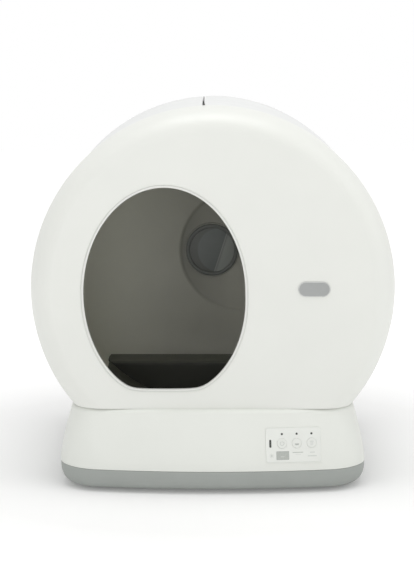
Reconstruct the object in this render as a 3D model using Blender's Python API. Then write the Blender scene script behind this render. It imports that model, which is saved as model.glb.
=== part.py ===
"""Self-cleaning litter box: a turning drum behind a fixed round front, on a low base.

Metres, +Z up, front towards -Y. The origin is on the floor, in the middle of the footprint.
Sizes that can be chosen are named below; every other size is worked out from them.
"""
import math

import bmesh
import bpy
from mathutils import Matrix, Vector

# Gaps that every fit shares
FIT = 0.0003
OVERRUN = 0.004
PANEL_GAP = 0.0006
WELD_SHARE = 1.0 / 30.0
SMOOTH_ANGLE = math.radians(32.0)

# Sides given to round pieces, by how large they are
TINY_SIDES = 10
SMALL_SIDES = 14
MEDIUM_SIDES = 18
LARGE_SIDES = 32

# Overall form
COVER_RADIUS = 0.265
SHELL_AXIS_HEIGHT = 0.290
BASE_HALF_DEPTH = 0.260
BASE_HALF_WIDTH = 0.224
BASE_HEIGHT = 0.121
WALL = 0.003

# Base outline and lean
BASE_CORNER_RADIUS = 0.055
BASE_BOW = 0.025
BASE_LEAN = 0.018
BASE_LEAN_START = 0.042
BASE_LEAN_POWER = 1.3
BASE_TOP_ROUND = 0.004
BASE_RIM_WIDTH = 0.018
BASE_CORNER_STEPS = 6
BASE_EDGE_STEPS = 6
HOUSING_LEVEL_SHARES = (0.0, 0.12, 0.48, 0.80)
TOP_ROUND_ANGLES = (math.radians(35.0), math.radians(90.0))

# Lower pan and its feet
PAN_TOP = 0.034
PAN_BOTTOM = 0.003
PAN_ROUND = 0.028
PAN_ROUND_STEPS = 4
PAN_INNER_STEPS = 2
FOOT_RADIUS = 0.014
FOOT_CHAMFER = 0.002
FOOT_CHAMFER_RISE = 0.0015
FOOT_STEM_RADIUS = 0.005
FOOT_INSET_X = 0.030
FOOT_INSET_Y = 0.040
LOAD_CELL_LENGTH = 0.050
LOAD_CELL_WIDTH = 0.012
LOAD_CELL_HEIGHT = 0.011
LOAD_CELL_NECK_SHARE = 0.36

# Front cover
COVER_SETBACK = 0.010
COVER_DEPTH = 0.070
COVER_ROUND = 0.033
COVER_ROUND_DEPTH = 0.046
COVER_ROUND_STEPS = 4
COVER_SEGMENTS = 60
COVER_CORNER_RADIUS = 0.012
COVER_CORNER_STEPS = 3

# Entrance, measured from the cover's axis
ENTRANCE_SHIFT = -0.0696
ENTRANCE_DROP = 0.0013
ENTRANCE_HALF_WIDTH = 0.116
ENTRANCE_HALF_HEIGHT = 0.153
ENTRANCE_SILL = 0.0304
ENTRANCE_FLOOR_SOFTNESS = 0.007
ENTRANCE_POINTS = 48
RING_WALL = 0.0017
RING_BEAD_WIDTH = 0.0045
RING_BEAD_PROUD = 0.0012
RING_BEAD_ROUND = 0.0008
RING_REACH = 0.018

# Badge, left plain
BADGE_LENGTH = 0.046
BADGE_HEIGHT = 0.022
BADGE_THICKNESS = 0.0012
BADGE_SHIFT_X = 0.1452
BADGE_RISE = 0.006
BADGE_END_STEPS = 6

# Rear half shells
SHELL_STEP = 0.002
SHELL_SETBACK = 0.004
SHELL_ROUND = 0.060
SHELL_ROUND_DEPTH = 0.078
SHELL_ROUND_STEPS = 4
SHELL_SEGMENTS = 52
SEAM_SHIFT = -0.0134
SEAM_WIDTH = 0.002
SEAM_STRIP_RECESS = 0.0012
SEAM_STRIP_DEPTH = 0.0045
SEAM_STRIP_POINTS = 8

# Drum
DRUM_RISE = 0.004
DRUM_WALL = 0.0025
DRUM_SHELL_CLEARANCE = 0.0155
DRUM_PAN_CLEARANCE = 0.040
DRUM_DECK_CLEARANCE = 0.005
DRUM_FRONT_SPACE = 0.017
DRUM_REAR_SPACE = 0.030
DRUM_LIP_WIDTH = 0.0405
DRUM_FRONT_ROUND = 0.028
DRUM_FRONT_ROUND_DEPTH = 0.0245
DRUM_REAR_ROUND = 0.090
DRUM_REAR_ROUND_DEPTH = 0.075
DRUM_FRONT_STEPS = 3
DRUM_REAR_STEPS = 4
DRUM_SEGMENTS = 48
HUB_HOLE_RADIUS = 0.046
DISH_OVERREACH = 0.005
DISH_SHIFT = 0.049
DISH_DEPTH = 0.0025
DISH_SEGMENTS = 28
SEAL_WIDTH_TAPER = 0.0007
PORT_ANGLE = math.radians(42.0)
PORT_WIDTH = 0.110
PORT_LENGTH = 0.180
PORT_CORNER_RADIUS = 0.018
PORT_CORNER_STEPS = 2
PORT_CUT_DEPTH = 0.037
PORT_SHIFT_Y = -0.020

# Sieve inside the drum
SIEVE_ANGLE = math.radians(95.0)
SIEVE_SETBACK = 0.048
SIEVE_WALL = 0.003
SIEVE_FRONT_MARGIN = 0.012
SIEVE_REAR_MARGIN = 0.032
SIEVE_COLUMNS = 11
SIEVE_ROWS = 3
SIEVE_BAR_SHARE = 0.36
SIEVE_FRAME_SHARE = 0.55

# Litter liner
LINER_WALL = 0.0025
LINER_DEPTH = 0.071
LINER_STEP_GAP = 0.117
LINER_SHELF_GAP = 0.050
LINER_LIP_HEIGHT = 0.003
LINER_COLUMNS = 20
LINER_FRONT_ANGLES = (math.radians(60.0), math.radians(30.0))

# Ring gear and pinion
RING_GEAR_TEETH = 72
PINION_TEETH = 9
GEAR_RIM = 0.0022
GEAR_WIDTH = 0.014
GEAR_END_GAP = 0.004
ADDENDUM_SHARE = 0.70
DEDENDUM_SHARE = 0.90
TOOTH_THICKNESS_SHARE = 0.44
PRESSURE_ANGLE = math.radians(25.0)
PINION_SHAFT_RADIUS = 0.005
FLANK_STEPS = 3

# Drive
MOTOR_RADIUS = 0.018
MOTOR_LENGTH = 0.052
MOTOR_CAP_LENGTH = 0.004
MOTOR_NECK_RADIUS = 0.010
GEARBOX_SIZE = 0.044
GEARBOX_LENGTH = 0.024
GEARBOX_CORNER_RADIUS = 0.006
GEARBOX_CORNER_STEPS = 2
GEARBOX_WALL_GAP = 0.0062
MOTOR_BRACKET_WALL = 0.003
MOTOR_BRACKET_FOOT = 0.012

# Support rollers
ROLLER_RADIUS = 0.013
ROLLER_WIDTH = 0.014
ROLLER_CELL_GAP = 0.0211
ROLLER_EDGE_DROP = 0.0005
ROLLER_END_MARGIN = 0.017
AXLE_RADIUS = 0.003
BRACKET_WALL = 0.003
BRACKET_WIDTH = 0.024
BRACKET_HEAD_SHARE = 0.45
BRACKET_HEAD_STEPS = 6
BRACKET_CROWN_SHARE = 0.9

# Rear frame and hub
FRAME_GAP = 0.0045
FRAME_WALL = 0.004
FRAME_HALF_WIDTH = 0.085
FRAME_HEAD_RADIUS = 0.056
FRAME_HEAD_STEPS = 10
FRAME_FOOT_LENGTH = 0.026
FRAME_EYE_RADIUS = 0.021
SPINDLE_GAP = 0.0003
BUSH_WALL = 0.0021
SPINDLE_WALL = 0.0055
SPINDLE_FLANGE = 0.008
SPINDLE_FLANGE_DEPTH = 0.0025
SPINDLE_PROUD = 0.0015
LENS_THICKNESS = 0.002
LENS_SET_IN = 0.0012
SENSOR_BOARD_THICKNESS = 0.0016

# Waste drawer
DRAWER_FRONT_GAP = 0.0147
DRAWER_REAR_GAP = 0.0127
DRAWER_FLOOR = 0.0395
DRAWER_TOP = 0.110
DRAWER_LIP = 0.020
DRAWER_DRUM_GAP = 0.005
DRAWER_WALL = 0.0022
DRAWER_CURVE_STEPS = 6
DRAWER_LEAN_STEPS = 4
DRAWER_PANEL_WALL = 0.004
DRAWER_PANEL_MARGIN = 0.005
DRAWER_JOIN_HEIGHT = 0.014
DRAWER_TRAY_GAP = 0.0003
GRIP_LENGTH = 0.080
GRIP_HEIGHT = 0.014
GRIP_RISE = 0.010
RAIL_WIDTH = 0.010
RAIL_WALL = 0.002
RAIL_GUIDE_HEIGHT = 0.006

# Control panel
PANEL_SHIFT_X = 0.116
PANEL_HEIGHT = 0.0715
PANEL_LENGTH = 0.080
PANEL_TALL = 0.050
PANEL_PLATE = 0.0015
PANEL_POCKET = 0.0018
PANEL_CORNER_RADIUS = 0.004
PANEL_CORNER_STEPS = 2
BUTTON_PITCH = 0.0216
BUTTON_SHIFT_U = 0.0052
BUTTON_RISE = 0.0025
BUTTON_RADIUS = 0.0072
BUTTON_TRAVEL = 0.001
BUTTON_PROUD = 0.0008
BUTTON_CHAMFER = 0.0007
BUTTON_FLANGE = 0.0012
BUTTON_FLANGE_DEPTH = 0.0010
BUTTON_STEM_RADIUS = 0.002
BUTTON_STEM_LENGTH = 0.003
LIGHT_RADIUS = 0.0015
LIGHT_RISE = 0.0170
LIGHT_BAR_HALF_HEIGHT = 0.0012
SLOT_SHIFT_U = -0.0335
SLOT_HALF_HEIGHT = 0.0058
SLOT_HALF_WIDTH = 0.0015
BOARD_THICKNESS = 0.0016
SWITCH_SIZE = 0.006
SWITCH_HEIGHT = 0.0035
SWITCH_CORNER = 0.0006
BUTTON_BACK_GAP = 0.0014
POST_RADIUS = 0.0025
POST_WALL_GAP = 0.0022

# Power and odour parts
POWER_BOARD_LENGTH = 0.090
POWER_BOARD_WIDTH = 0.050
POWER_BOARD_WALL_GAP = 0.049
POWER_BOARD_STANDOFF = 0.005
POWER_PART_SIZE = 0.014
POWER_PART_HEIGHT = 0.011
POWER_PART_CORNER = 0.002
POWER_PART_SHARES = (-0.6, 0.0, 0.6)
POWER_PART_STAGGER_SHARE = 0.33
INLET_SHIFT_X = -0.090
INLET_HEIGHT = 0.062
INLET_RADIUS = 0.006
INLET_BORE_RADIUS = 0.0028
INLET_LENGTH = 0.024
INLET_FLANGE = 0.002
INLET_FLANGE_DEPTH = 0.0015
INLET_SINK = 0.001
INLET_SOCKET_DEPTH = 0.016
FILTER_LENGTH = 0.060
FILTER_WIDTH = 0.040
FILTER_HEIGHT = 0.034
FILTER_WALL_GAP = 0.034
FILTER_CELL_GAP = 0.025
FILTER_RIBS = 5
FILTER_RIB_DEPTH = 0.002
VENT_SLOTS = 7
VENT_SLOT_WIDTH = 0.003
VENT_SLOT_PITCH = 0.009
VENT_SLOT_HEIGHT = 0.026
VENT_SLOT_LOW = 0.040

# Sizes that follow from the ones above
COVER_FACE_Y = -(BASE_HALF_DEPTH - BASE_LEAN - COVER_SETBACK)
COVER_REAR_Y = COVER_FACE_Y + COVER_DEPTH
SHELL_FRONT_Y = COVER_REAR_Y + FIT
SHELL_REAR_Y = BASE_HALF_DEPTH - BASE_LEAN - SHELL_SETBACK
SHELL_RADIUS = COVER_RADIUS - SHELL_STEP
DECK_HEIGHT = BASE_HEIGHT + FIT
PAN_FLOOR = PAN_BOTTOM + WALL
FOOT_X = BASE_HALF_WIDTH - PAN_ROUND - FOOT_INSET_X
FOOT_Y = BASE_HALF_DEPTH - PAN_ROUND - FOOT_INSET_Y
CELL_SIDE = FOOT_X - LOAD_CELL_WIDTH / 2.0

DRUM_AXIS_HEIGHT = SHELL_AXIS_HEIGHT + DRUM_RISE
DECK_OPENING = BASE_HALF_WIDTH - BASE_LEAN - BASE_RIM_WIDTH
SHELL_ROOM = SHELL_RADIUS - WALL - DRUM_RISE - DRUM_SHELL_CLEARANCE
PAN_ROOM = DRUM_AXIS_HEIGHT - PAN_FLOOR - DRUM_PAN_CLEARANCE
DECK_ROOM = math.hypot(DECK_OPENING - DRUM_DECK_CLEARANCE, DRUM_AXIS_HEIGHT - BASE_HEIGHT)
DRUM_OUTER = min(SHELL_ROOM, PAN_ROOM, DECK_ROOM)
DRUM_INNER = DRUM_OUTER - DRUM_WALL
DRUM_FLAT_SHARE = math.cos(math.pi / DRUM_SEGMENTS)
DRUM_FRONT_Y = COVER_FACE_Y + WALL + DRUM_FRONT_SPACE
DRUM_FRONT_IN_Y = DRUM_FRONT_Y + DRUM_WALL
DRUM_REAR_IN_Y = SHELL_REAR_Y - WALL - DRUM_REAR_SPACE
DRUM_REAR_Y = DRUM_REAR_IN_Y + DRUM_WALL + DISH_DEPTH
DRUM_LIP_RADIUS = DRUM_OUTER - DRUM_LIP_WIDTH
FRONT_ROUND_CENTRE = DRUM_INNER - DRUM_FRONT_ROUND
FRONT_ROUND_Y = DRUM_FRONT_IN_Y + DRUM_FRONT_ROUND_DEPTH
REAR_ROUND_CENTRE = DRUM_INNER - DRUM_REAR_ROUND
REAR_ROUND_Y = DRUM_REAR_IN_Y - DRUM_REAR_ROUND_DEPTH
DISH_RADIUS = REAR_ROUND_CENTRE + DISH_OVERREACH - DISH_SHIFT
SIEVE_DISTANCE = DRUM_INNER - SIEVE_SETBACK
LINER_DROP = DRUM_INNER - LINER_DEPTH
LINER_WELL_REAR = DRUM_REAR_IN_Y - LINER_STEP_GAP
LINER_SHELF_REAR = DRUM_REAR_IN_Y - LINER_SHELF_GAP

RING_ROOT = DRUM_OUTER + FIT + GEAR_RIM
GEAR_MODULE = 2.0 * RING_ROOT / (RING_GEAR_TEETH - 2.0 * DEDENDUM_SHARE)
RING_PITCH = GEAR_MODULE * RING_GEAR_TEETH / 2.0
PINION_PITCH = GEAR_MODULE * PINION_TEETH / 2.0
GEAR_REAR_Y = REAR_ROUND_Y - GEAR_END_GAP
GEAR_FRONT_Y = GEAR_REAR_Y - GEAR_WIDTH
PAN_HALF_ROOM = BASE_HALF_WIDTH - PAN_ROUND - WALL
SHELL_HALF_ROOM = math.sqrt((SHELL_RADIUS - WALL) ** 2 - (SHELL_AXIS_HEIGHT - DECK_HEIGHT) ** 2)
PINION_X = -(min(PAN_HALF_ROOM, SHELL_HALF_ROOM) - GEARBOX_WALL_GAP - GEARBOX_SIZE / 2.0)
PINION_Z = DRUM_AXIS_HEIGHT - math.sqrt((RING_PITCH + PINION_PITCH) ** 2 - PINION_X ** 2)

ROLLER_DISTANCE = DRUM_OUTER + FIT + ROLLER_RADIUS
ROLLER_X = CELL_SIDE - ROLLER_CELL_GAP - BRACKET_WIDTH / 2.0
ROLLER_Z = DRUM_AXIS_HEIGHT - math.sqrt(ROLLER_DISTANCE ** 2 - ROLLER_X ** 2)
ROLLER_FRONT_Y = FRONT_ROUND_Y + ROLLER_END_MARGIN
ROLLER_REAR_Y = GEAR_FRONT_Y - ROLLER_END_MARGIN
BRACKET_HALF_DEPTH = ROLLER_WIDTH / 2.0 + FIT + BRACKET_WALL
DRAWER_FRONT_Y = ROLLER_FRONT_Y + BRACKET_HALF_DEPTH + DRAWER_FRONT_GAP
DRAWER_REAR_Y = ROLLER_REAR_Y - BRACKET_HALF_DEPTH - DRAWER_REAR_GAP

FRAME_FRONT_Y = DRUM_REAR_Y + FRAME_GAP
SPINDLE_RADIUS = HUB_HOLE_RADIUS - FIT - BUSH_WALL - SPINDLE_GAP
SPINDLE_BORE = SPINDLE_RADIUS - SPINDLE_WALL

POWER_BOARD_Y = BASE_HALF_DEPTH - PAN_ROUND - WALL - POWER_BOARD_WALL_GAP - POWER_BOARD_WIDTH / 2.0
FILTER_X = CELL_SIDE - FILTER_CELL_GAP - FILTER_WIDTH / 2.0
FILTER_Y = BASE_HALF_DEPTH - PAN_ROUND - WALL - FILTER_WALL_GAP - FILTER_LENGTH / 2.0

COLOURS = {
    "white_shell": ((0.80, 0.80, 0.78), 0.42, 0.0),
    "grey_pan": ((0.34, 0.36, 0.36), 0.50, 0.0),
    "grey_drum": ((0.30, 0.30, 0.27), 0.48, 0.0),
    "black_liner": ((0.030, 0.031, 0.026), 0.60, 0.0),
    "dark_plastic": ((0.06, 0.06, 0.06), 0.50, 0.0),
    "rubber": ((0.03, 0.03, 0.03), 0.80, 0.0),
    "felt": ((0.12, 0.12, 0.12), 0.95, 0.0),
    "lens": ((0.18, 0.22, 0.24), 0.15, 0.0),
    "badge_grey": ((0.30, 0.31, 0.32), 0.35, 0.0),
    "acetal": ((0.62, 0.62, 0.58), 0.40, 0.0),
    "steel": ((0.60, 0.60, 0.62), 0.30, 1.0),
    "aluminium": ((0.70, 0.71, 0.73), 0.35, 1.0),
    "circuit_board": ((0.03, 0.16, 0.08), 0.45, 0.0),
    "carbon": ((0.05, 0.05, 0.05), 0.90, 0.0),
}


def clear_scene():
    """Remove every object that the new file came with."""
    for old in list(bpy.data.objects):
        bpy.data.objects.remove(old, do_unlink=True)


def finish(name):
    """Return the named material, made once."""
    found = bpy.data.materials.get(name)
    if found:
        return found
    colour, roughness, metallic = COLOURS[name]
    made = bpy.data.materials.new(name)
    made.use_nodes = True
    shader = made.node_tree.nodes["Principled BSDF"]
    shader.inputs["Base Color"].default_value = (*colour, 1.0)
    shader.inputs["Roughness"].default_value = roughness
    shader.inputs["Metallic"].default_value = metallic
    return made


def add_object(name, mesh_data, material, location=(0.0, 0.0, 0.0), rotation=None, smooth=True):
    """Turn bmesh data into a linked object with one material."""
    bmesh.ops.remove_doubles(mesh_data, verts=mesh_data.verts, dist=FIT * WELD_SHARE)
    bmesh.ops.recalc_face_normals(mesh_data, faces=mesh_data.faces)
    mesh = bpy.data.meshes.new(name)
    mesh_data.to_mesh(mesh)
    mesh_data.free()
    if smooth:
        mesh.shade_smooth()
        mesh.set_sharp_from_angle(angle=SMOOTH_ANGLE)
    if material:
        mesh.materials.append(finish(material))
    made = bpy.data.objects.new(name, mesh)
    made.location = location
    if rotation is not None:
        made.rotation_euler = rotation
    bpy.context.scene.collection.objects.link(made)
    return made


def add_pivot(name, location, rotation=(0.0, 0.0, 0.0)):
    """Add an empty on a joint's axis, for the pieces that move with it."""
    pivot = bpy.data.objects.new(name, None)
    pivot.location = location
    pivot.rotation_euler = rotation
    bpy.context.scene.collection.objects.link(pivot)
    return pivot


def carry(pivot, *pieces):
    """Parent pieces that were placed in pivot coordinates."""
    for piece in pieces:
        piece.parent = pivot


def boolean(target, tool, operation="DIFFERENCE"):
    """Cut or join a piece with a hidden tool solid."""
    tool.hide_render = True
    tool.display_type = "WIRE"
    step = target.modifiers.new(operation.title(), "BOOLEAN")
    step.operation = operation
    step.solver = "EXACT"
    step.object = tool
    if target.parent:
        tool.parent = target.parent


def loft(loops, closed=False):
    """Join loops of equal length; capped at both ends unless the run closes on itself."""
    data = bmesh.new()
    rings = [[data.verts.new(point) for point in loop] for loop in loops]
    pairs = list(zip(rings, rings[1:]))
    if closed:
        pairs.append((rings[-1], rings[0]))
    count = len(rings[0])
    for lower, upper in pairs:
        for index in range(count):
            after = (index + 1) % count
            data.faces.new((lower[index], lower[after], upper[after], upper[index]))
    if not closed:
        data.faces.new(list(reversed(rings[0])))
        data.faces.new(rings[-1])
    return data


def turned(profile, segments, centre=(0.0, 0.0)):
    """Spin a closed profile of (radius, y) points about an axis along Y through (x, z)."""
    data = bmesh.new()
    points = [data.verts.new((radius, along, 0.0)) for radius, along in profile]
    edges = [data.edges.new((a, b)) for a, b in zip(points, points[1:])]
    if profile[0][0] > FIT or profile[-1][0] > FIT:
        edges.append(data.edges.new((points[-1], points[0])))
    bmesh.ops.spin(data, geom=points + edges, cent=(0.0, 0.0, 0.0), axis=(0.0, 1.0, 0.0),
                   dvec=(0.0, 0.0, 0.0), angle=2.0 * math.pi, steps=segments, use_duplicate=False)
    bmesh.ops.remove_doubles(data, verts=data.verts, dist=FIT * WELD_SHARE)
    bmesh.ops.translate(data, verts=data.verts, vec=(centre[0], 0.0, centre[1]))
    return data


def prism_y(outline, front, rear):
    """Extrude an (x, z) outline along Y."""
    return loft([[(x, front, z) for x, z in outline], [(x, rear, z) for x, z in outline]])


def prism_z(outline, low, high):
    """Extrude an (x, y) outline along Z."""
    return loft([[(x, y, low) for x, y in outline], [(x, y, high) for x, y in outline]])


def prism_x(outline, left, right):
    """Extrude a (y, z) outline along X."""
    return loft([[(left, y, z) for y, z in outline], [(right, y, z) for y, z in outline]])


def box_outline(low, high):
    """Return the four corners between two opposite ones."""
    return [(low[0], low[1]), (high[0], low[1]), (high[0], high[1]), (low[0], high[1])]


def circle_outline(radius, count, centre=(0.0, 0.0)):
    """Return points round a circle."""
    steps = [2.0 * math.pi * index / count for index in range(count)]
    return [(centre[0] + radius * math.cos(a), centre[1] + radius * math.sin(a)) for a in steps]


def rounded_outline(half_x, half_y, radius, steps, centre=(0.0, 0.0)):
    """Return a rectangle with round corners, anticlockwise."""
    points = []
    radius = min(radius, half_x, half_y)
    for corner, (side_x, side_y) in enumerate(((1, 1), (-1, 1), (-1, -1), (1, -1))):
        for step in range(steps + 1):
            angle = math.pi / 2.0 * (corner + step / steps)
            points.append((centre[0] + side_x * (half_x - radius) + radius * math.cos(angle),
                           centre[1] + side_y * (half_y - radius) + radius * math.sin(angle)))
    return points


def merge_into(data, other):
    """Add a second solid to the same mesh as a separate body."""
    mesh = bpy.data.meshes.new("merged")
    other.to_mesh(mesh)
    other.free()
    data.from_mesh(mesh)
    bpy.data.meshes.remove(mesh)
    return data


def base_lean(height):
    """Return how far the housing's wall stands in from its widest line at a height."""
    if height <= BASE_LEAN_START:
        return 0.0
    share = (height - BASE_LEAN_START) / (BASE_HEIGHT - BASE_LEAN_START)
    return BASE_LEAN * share ** BASE_LEAN_POWER


def base_outline(inset):
    """Return the base's plan, a rectangle with round corners and bowed front and rear."""
    half_x = BASE_HALF_WIDTH - inset
    half_y = BASE_HALF_DEPTH - inset
    radius = max(BASE_CORNER_RADIUS - inset, BASE_CORNER_RADIUS / 4.0)
    corners = rounded_outline(half_x, half_y, radius, BASE_CORNER_STEPS)
    points = []
    span = BASE_CORNER_STEPS + 1
    for corner in range(4):
        points += corners[corner * span:(corner + 1) * span]
        if corner % 2 == 0:
            start = corners[(corner + 1) * span - 1]
            end = corners[((corner + 1) % 4) * span]
            for step in range(1, BASE_EDGE_STEPS):
                share = step / BASE_EDGE_STEPS
                points.append((start[0] + (end[0] - start[0]) * share, start[1]))
    bowed = []
    for x, y in points:
        bowed.append((x, y * (1.0 - BASE_BOW / BASE_HALF_DEPTH * (x / BASE_HALF_WIDTH) ** 2)))
    return bowed


def base_front(x, height):
    """Return the depth of the base's front wall at a place on it."""
    half_y = BASE_HALF_DEPTH - base_lean(height)
    return -half_y * (1.0 - BASE_BOW / BASE_HALF_DEPTH * (x / BASE_HALF_WIDTH) ** 2)


def base_section(inset, height):
    """Return the plan outline at an inset, lifted to a height."""
    return [(x, y, height) for x, y in base_outline(inset)]


def pan_section(inset, share):
    """Return the pan's outline part-way round its lower curve, from rim to floor."""
    angle = math.pi / 2.0 * share
    floor = PAN_FLOOR if inset > 0.0 else PAN_BOTTOM
    height = floor + (PAN_TOP - floor) * (1.0 - math.sin(angle))
    return base_section(inset + PAN_ROUND * (1.0 - math.cos(angle)), height)


def make_base_pan():
    """The grey tray that carries everything, rounded under its edge."""
    sections = []
    for step in reversed(range(PAN_ROUND_STEPS + 1)):
        sections.append(pan_section(0.0, step / PAN_ROUND_STEPS))
    for step in range(PAN_INNER_STEPS + 1):
        sections.append(pan_section(WALL, step / PAN_INNER_STEPS))
    pan = add_object("base_pan", loft(sections), "grey_pan")
    holes = bmesh.new()
    for _, spot in foot_places():
        outline = circle_outline(FOOT_STEM_RADIUS + FIT, TINY_SIDES, spot)
        merge_into(holes, prism_z(outline, PAN_BOTTOM - OVERRUN, PAN_FLOOR + OVERRUN))
    boolean(pan, add_object("foot_holes_tool", holes, None))


def foot_places():
    """Return the four corner names and foot positions, front left first, going round."""
    return [("front_left", (-FOOT_X, -FOOT_Y)), ("front_right", (FOOT_X, -FOOT_Y)),
            ("rear_right", (FOOT_X, FOOT_Y)), ("rear_left", (-FOOT_X, FOOT_Y))]


def make_feet():
    """Four rubber feet, each with a stem up to its weighing bar."""
    stem_top = PAN_FLOOR + FIT
    profile = [(0.0, 0.0), (FOOT_RADIUS - FOOT_CHAMFER, 0.0), (FOOT_RADIUS, FOOT_CHAMFER_RISE),
               (FOOT_RADIUS, PAN_BOTTOM - FIT), (FOOT_STEM_RADIUS, PAN_BOTTOM - FIT),
               (FOOT_STEM_RADIUS, stem_top), (0.0, stem_top)]
    for name, (x, y) in foot_places():
        data = turned(profile, SMALL_SIDES)
        bmesh.ops.rotate(data, verts=data.verts, cent=(0.0, 0.0, 0.0),
                         matrix=Matrix.Rotation(math.pi / 2.0, 3, "X"))
        add_object("foot_" + name, data, "rubber", (x, y, 0.0))


def make_load_cells():
    """Four aluminium weighing bars, necked in the middle, lying on the feet's stems."""
    half_length = LOAD_CELL_LENGTH / 2.0
    half_width = LOAD_CELL_WIDTH / 2.0
    neck = half_width * (1.0 - LOAD_CELL_NECK_SHARE)
    low = PAN_FLOOR + 2.0 * FIT
    for name, (x, y) in foot_places():
        towards = -1.0 if y > 0.0 else 1.0
        centre = y + towards * (half_length - FOOT_STEM_RADIUS)
        outline = [(half_width, -half_length), (half_width, -neck), (neck, -neck / 2.0),
                   (neck, neck / 2.0), (half_width, neck), (half_width, half_length)]
        outline += [(-px, py) for px, py in reversed(outline)]
        outline = [(x + px, centre + py) for px, py in outline]
        bar = prism_z(outline, low, low + LOAD_CELL_HEIGHT)
        add_object("load_cell_" + name, bar, "aluminium", smooth=False)


def entrance_outline(offset):
    """Return the entrance, an ellipse whose foot is levelled by a soft floor, grown by an offset."""
    centre_z = SHELL_AXIS_HEIGHT - ENTRANCE_DROP
    floor = BASE_HEIGHT + ENTRANCE_SILL - offset
    points = []
    for index in range(ENTRANCE_POINTS):
        angle = 2.0 * math.pi * index / ENTRANCE_POINTS
        x = ENTRANCE_SHIFT + (ENTRANCE_HALF_WIDTH + offset) * math.cos(angle)
        above = centre_z + (ENTRANCE_HALF_HEIGHT + offset) * math.sin(angle) - floor
        points.append((x, floor + (above + math.hypot(above, ENTRANCE_FLOOR_SOFTNESS)) / 2.0))
    return points


def make_front_cover():
    """The round front: a dished disc with a rolled rim, cut flat where it stands on the base."""
    profile = [(0.0, COVER_FACE_Y)]
    for inward in (0.0, WALL):
        arc = []
        for step in range(COVER_ROUND_STEPS + 1):
            angle = math.pi / 2.0 * step / COVER_ROUND_STEPS
            radius = COVER_RADIUS - COVER_ROUND + (COVER_ROUND - inward) * math.sin(angle)
            along = COVER_FACE_Y + COVER_ROUND_DEPTH - (COVER_ROUND_DEPTH - inward) * math.cos(angle)
            arc.append((radius, along))
        arc.append((COVER_RADIUS - inward, COVER_REAR_Y))
        profile += arc if inward == 0.0 else list(reversed(arc))
    profile.append((0.0, COVER_FACE_Y + WALL))
    cover = add_object("front_cover", turned(profile, COVER_SEGMENTS, (0.0, SHELL_AXIS_HEIGHT)), "white_shell")

    hole = prism_y(entrance_outline(RING_WALL + FIT), COVER_FACE_Y - OVERRUN, COVER_FACE_Y + COVER_DEPTH / 2.0)
    boolean(cover, add_object("entrance_tool", hole, None))
    boolean(cover, add_object("cover_foot_tool", cover_foot(), None))


def cover_foot():
    """Return the solid that levels the cover's foot and rounds its two lower corners."""
    flat_radius = COVER_RADIUS * math.cos(math.pi / COVER_SEGMENTS)
    centre_z = DECK_HEIGHT + COVER_CORNER_RADIUS
    drop = SHELL_AXIS_HEIGHT - centre_z
    centre_x = math.sqrt((flat_radius - COVER_CORNER_RADIUS) ** 2 - drop ** 2)
    sweep = math.pi / 2.0 - math.atan2(drop, centre_x)
    reach = COVER_RADIUS + OVERRUN
    right = []
    for step in range(COVER_CORNER_STEPS + 1):
        angle = sweep * step / COVER_CORNER_STEPS - math.pi / 2.0
        right.append((centre_x + COVER_CORNER_RADIUS * math.cos(angle),
                      centre_z + COVER_CORNER_RADIUS * math.sin(angle)))
    right.append((reach, right[-1][1]))
    outline = right + [(reach, DECK_HEIGHT - reach), (-reach, DECK_HEIGHT - reach)]
    outline += [(-x, z) for x, z in reversed(right)]
    return prism_y(outline, COVER_FACE_Y - OVERRUN, COVER_REAR_Y + OVERRUN)


def make_entrance_ring():
    """The lip round the entrance: a bead on the face and a flange towards the drum."""
    face = COVER_FACE_Y - FIT
    front = face - RING_BEAD_PROUD
    rear = COVER_FACE_Y + RING_REACH
    section = [(0.0, rear), (0.0, front + RING_BEAD_ROUND), (RING_BEAD_ROUND, front),
               (RING_BEAD_WIDTH - RING_BEAD_ROUND, front), (RING_BEAD_WIDTH, face),
               (RING_WALL, face), (RING_WALL, rear)]
    loops = [[(x, along, z) for x, z in entrance_outline(offset)] for offset, along in section]
    return add_object("entrance_ring", loft(loops, closed=True), "white_shell")


def make_badge_plate():
    """A plain plate with round ends on the cover's face."""
    radius = BADGE_HEIGHT / 2.0
    outline = rounded_outline(BADGE_LENGTH / 2.0, radius, radius, BADGE_END_STEPS,
                              (BADGE_SHIFT_X, SHELL_AXIS_HEIGHT + BADGE_RISE))
    face = COVER_FACE_Y - FIT
    return add_object("badge_plate", prism_y(outline, face - BADGE_THICKNESS, face), "badge_grey")


def shell_profile(outward_inset, inward_inset):
    """Return the rear shell's closed (radius, y) profile between two insets."""
    profile = []
    for inset in (outward_inset, inward_inset):
        line = [(SHELL_RADIUS - inset, SHELL_FRONT_Y)]
        for step in range(SHELL_ROUND_STEPS + 1):
            angle = math.pi / 2.0 * step / SHELL_ROUND_STEPS
            radius = SHELL_RADIUS - SHELL_ROUND + (SHELL_ROUND - inset) * math.cos(angle)
            along = SHELL_REAR_Y - SHELL_ROUND_DEPTH + (SHELL_ROUND_DEPTH - inset) * math.sin(angle)
            line.append((radius, along))
        line.append((0.0, SHELL_REAR_Y - inset))
        profile += list(reversed(line)) if inset == outward_inset else line
    return profile


def make_shell(name, side):
    """One half of the rear shell, from the seam to its own side."""
    solid = turned(shell_profile(0.0, WALL), SHELL_SEGMENTS, (0.0, SHELL_AXIS_HEIGHT))
    shell = add_object(name, solid, "white_shell")
    reach = COVER_RADIUS + OVERRUN
    seam = SEAM_SHIFT + side * SEAM_WIDTH / 2.0
    keep = [(seam, DECK_HEIGHT), (side * reach, DECK_HEIGHT),
            (side * reach, SHELL_AXIS_HEIGHT + reach), (seam, SHELL_AXIS_HEIGHT + reach)]
    tool = add_object(name + "_tool", prism_y(keep, -BASE_HALF_DEPTH, BASE_HALF_DEPTH), None)
    boolean(shell, tool, "INTERSECT")
    return shell


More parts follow.
